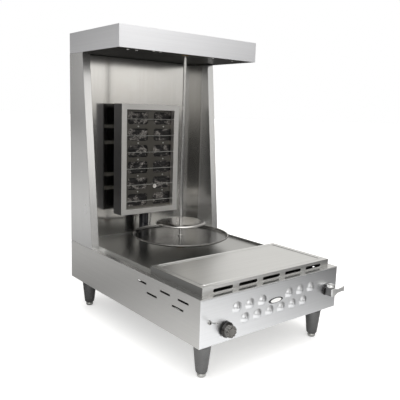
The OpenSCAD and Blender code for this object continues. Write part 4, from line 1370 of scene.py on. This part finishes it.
@dataclass
class Deck:
    """Raised lift-off deck with a pressed bead round its top."""

    inset: float = 17 * MM
    back_inset: float = 6 * MM
    corner: float = 8 * MM
    half_width: float = 3.2 * MM
    proud: float = 1.2 * MM
    sunk: float = 0.75 * MM

    def bead(self) -> Piece:
        """Bead: a lens-shaped section carried round a rectangle with rounded corners."""
        low, high = corners("deck_plate")
        x0, x1 = low[0] + self.inset, high[0] - self.inset
        y0, y1 = low[1] + self.inset, high[1] - self.back_inset
        path = rounded(np.array([[x0, y0], [x1, y0], [x1, y1], [x0, y1]]), self.corner, 9)
        ahead = np.roll(path, -1, 0) - np.roll(path, 1, 0)
        ahead /= np.linalg.norm(ahead, axis=1, keepdims=True)
        side = np.stack([ahead[:, 1], -ahead[:, 0]], 1)
        t = np.linspace(0, np.pi, 9)
        across = np.concatenate([self.half_width * np.cos(t), self.half_width * np.cos(t[-2:0:-1])])
        lift = np.concatenate([self.proud * np.sin(t) ** 1.5, -self.sunk * np.sin(t[-2:0:-1]) ** 0.2])
        flat = path[:, None] + side[:, None] * across[None, :, None]
        level = np.broadcast_to((high[2] + lift)[None, :, None], (*flat.shape[:2], 1))
        points = np.concatenate([flat, level], -1)
        faces = grid_faces(len(path), len(across), True, True)
        piece = make_piece("deck_pressed_bead", points.reshape(-1, 3), faces, sharp=60.0)
        return seat(piece, DECK_STEEL, "deck", "panel_steel")

    def build(self) -> None:
        """Dresses the deck plate and adds its bead."""
        dress("deck_plate", DECK_STEEL, 0.6 * MM)
        self.bead()


# ---------------------------------------------------------------- studio


Glow = tuple[Point, float, float, float]


@dataclass
class Studio:
    """Pale floor, soft lights and the camera.

    Each glow is a direction or a place, where its ramp starts and ends, and its strength.
    """

    camera_place: Point = (-1.0422, -1.2912, 0.6799)
    azimuth: float = -39.08
    elevation: float = 9.53
    roll: float = 1.85
    lens: float = 47.55
    floor_colour: Colour = (0.95, 0.95, 0.95)
    floor_half: float = 60.0
    floor_glow: float = 0.4
    room_level: float = 0.22
    panels: tuple[Glow, ...] = (
        ((0.52, -0.84, 0.1), 0.9, 0.995, 0.75),
        ((0.47, -0.865, 0.16), 0.98, 0.999, 0.65),
        ((0.0, 0.0, 1.0), 0.25, 0.9, 0.55),
        ((0.66, 0.69, 0.3), 0.7, 0.97, 0.5),
        ((-0.62, 0.78, 0.02), 0.955, 1.0, 0.62),
        ((-0.64, -0.76, 0.05), 0.75, 0.98, 0.7),
    )
    floor_pools: tuple[Glow, ...] = (
        ((-0.25, -0.7, 0.0), 0.1, 1.15, 0.85),
        ((-1.6, 1.9, 0.0), 0.6, 2.4, 0.3),
        ((-6.0, 7.0, 0.0), 3.0, 10.0, 0.42),
    )

    def camera(self) -> None:
        """Camera that looks from the front left, slightly down."""
        a, e, r = (math.radians(v) for v in (self.azimuth, self.elevation, self.roll))
        back = Vector((math.sin(a) * math.cos(e), -math.cos(a) * math.cos(e), math.sin(e)))
        right = Vector((math.cos(a), math.sin(a), 0.0))
        up = back.cross(right)
        x = math.cos(r) * right + math.sin(r) * up
        y = -math.sin(r) * right + math.cos(r) * up
        data = bpy.data.cameras.new("camera")
        data.sensor_width = 36.0
        data.lens = self.lens
        data.clip_end = 50.0
        camera = bpy.data.objects.new("camera", data)
        camera.matrix_world = Matrix((
            (x.x, y.x, back.x, self.camera_place[0]),
            (x.y, y.y, back.y, self.camera_place[1]),
            (x.z, y.z, back.z, self.camera_place[2]),
            (0, 0, 0, 1),
        ))
        bpy.context.scene.collection.objects.link(camera)
        bpy.context.scene.camera = camera

    def lamp(self, name: str, kind: str, at: Point, aim: Point, power: float, **settings: float) -> None:
        """A lamp that faces one point.

        Args:
            name: Name of the lamp.
            kind: Blender's name for its type.
            at: Where it hangs.
            aim: The point that it faces.
            power: Its strength, in watts for an area.
            **settings: Other properties, such as its size.
        """
        data = bpy.data.lights.new(name, kind)
        data.energy = power
        for key, value in settings.items():
            setattr(data, key, value)
        lamp = bpy.data.objects.new(name, data)
        lamp.location = at
        lamp.rotation_euler = (Vector(at) - Vector(aim)).to_track_quat("Z", "Y").to_euler()
        bpy.context.scene.collection.objects.link(lamp)

    def world(self) -> None:
        """Studio surround: white behind the object, and for reflections a grey room with soft panels.

        Each panel brightens the directions near its own, as a smooth ramp of the
        dot product between the two.
        """
        world = bpy.data.worlds.new("studio")
        bpy.context.scene.world = world
        world.use_nodes = True
        g = Graph(world.node_tree)
        way = g.add("ShaderNodeTexCoord").outputs["Generated"]
        level = self.room_level
        for centre, start, end, gain in self.panels:
            near = g.measure("DOT_PRODUCT", way, centre)
            span = {"Value": near, "From Min": start, "From Max": end, "To Max": gain}
            ramp = g.add("ShaderNodeMapRange", span, interpolation_type="SMOOTHSTEP")
            level = g.math("ADD", level, ramp.outputs[0])
        room = g.add("ShaderNodeBackground", {"Color": (1.0, 0.985, 0.96, 1), "Strength": level}).outputs[0]
        seen = g.add("ShaderNodeBackground", {"Color": (1, 1, 1, 1), "Strength": 1.0}).outputs[0]
        camera_ray = g.add("ShaderNodeLightPath").outputs["Is Camera Ray"]
        both = g.add("ShaderNodeMixShader", {0: camera_ray, 1: room, 2: seen})
        g.add("ShaderNodeOutputWorld", {"Surface": both.outputs[0]})

    def floor(self) -> None:
        """Wide pale floor; in reflections only the part before the object is bright."""
        square = np.array([[-1, -1, 0], [1, -1, 0], [1, 1, 0], [-1, 1, 0]]) * self.floor_half
        floor = make_piece("studio_floor", square, np.array([[0, 1, 2, 3]]), merge=False)
        made = bpy.data.materials.new("studio_floor_paint")
        made.use_nodes = True
        g = Graph(made.node_tree)
        spot = g.add("ShaderNodeTexCoord").outputs["Object"]
        mottle = g.noise(spot, 3.0, 3.0)
        paint = g.mix(mottle, shaded(self.floor_colour, 0.99), self.floor_colour)
        bright = 0.05
        for centre, near, far, gain in self.floor_pools:
            away = g.measure("DISTANCE", spot, centre)
            bright = g.math("ADD", bright, g.spread(away, near, far, gain, 0.0))
        dim = g.math("SUBTRACT", 1.0, bright, clamp=True)
        mirrored = g.math("MULTIPLY", dim, g.add("ShaderNodeLightPath").outputs["Is Glossy Ray"])
        shader = g.add("ShaderNodeBsdfPrincipled", {
            "Base Color": g.mix(mirrored, paint, (0.0, 0.0, 0.0)),
            "Emission Color": g.mix(mirrored, paint, (0.0, 0.0, 0.0)),
            "Emission Strength": self.floor_glow,
            "Roughness": 0.8,
            "Specular IOR Level": 0.0,
        })
        g.add("ShaderNodeOutputMaterial", {"Surface": shader.outputs[0]})
        floor.data.materials.append(made)

    def build(self) -> None:
        """Sets up the floor, the surround and the lights."""
        self.floor()
        self.world()
        self.lamp("soft_key", "SUN", (-2.0, -2.6, 3.4), (0, 0, 0), 1.3, angle=math.radians(70))
        self.lamp("top_soft", "AREA", (0.3, -0.3, 2.6), (0, 0, 0.3), 14.0, size=1.6)
        bpy.context.scene.view_settings.view_transform = "Standard"


def main() -> None:
    """Builds every sub-assembly in order."""
    logging.basicConfig(level=logging.INFO, format="%(name)s: %(message)s")
    studio = Studio()
    studio.camera()
    for assembly in (Base(), Legs(), Hood(), Deck(), Spit(), Heater(), Controls()):
        assembly.build()
        LOG.info("finished %s", type(assembly).__name__)
    studio.build()


if __name__ == "__main__":
    main()
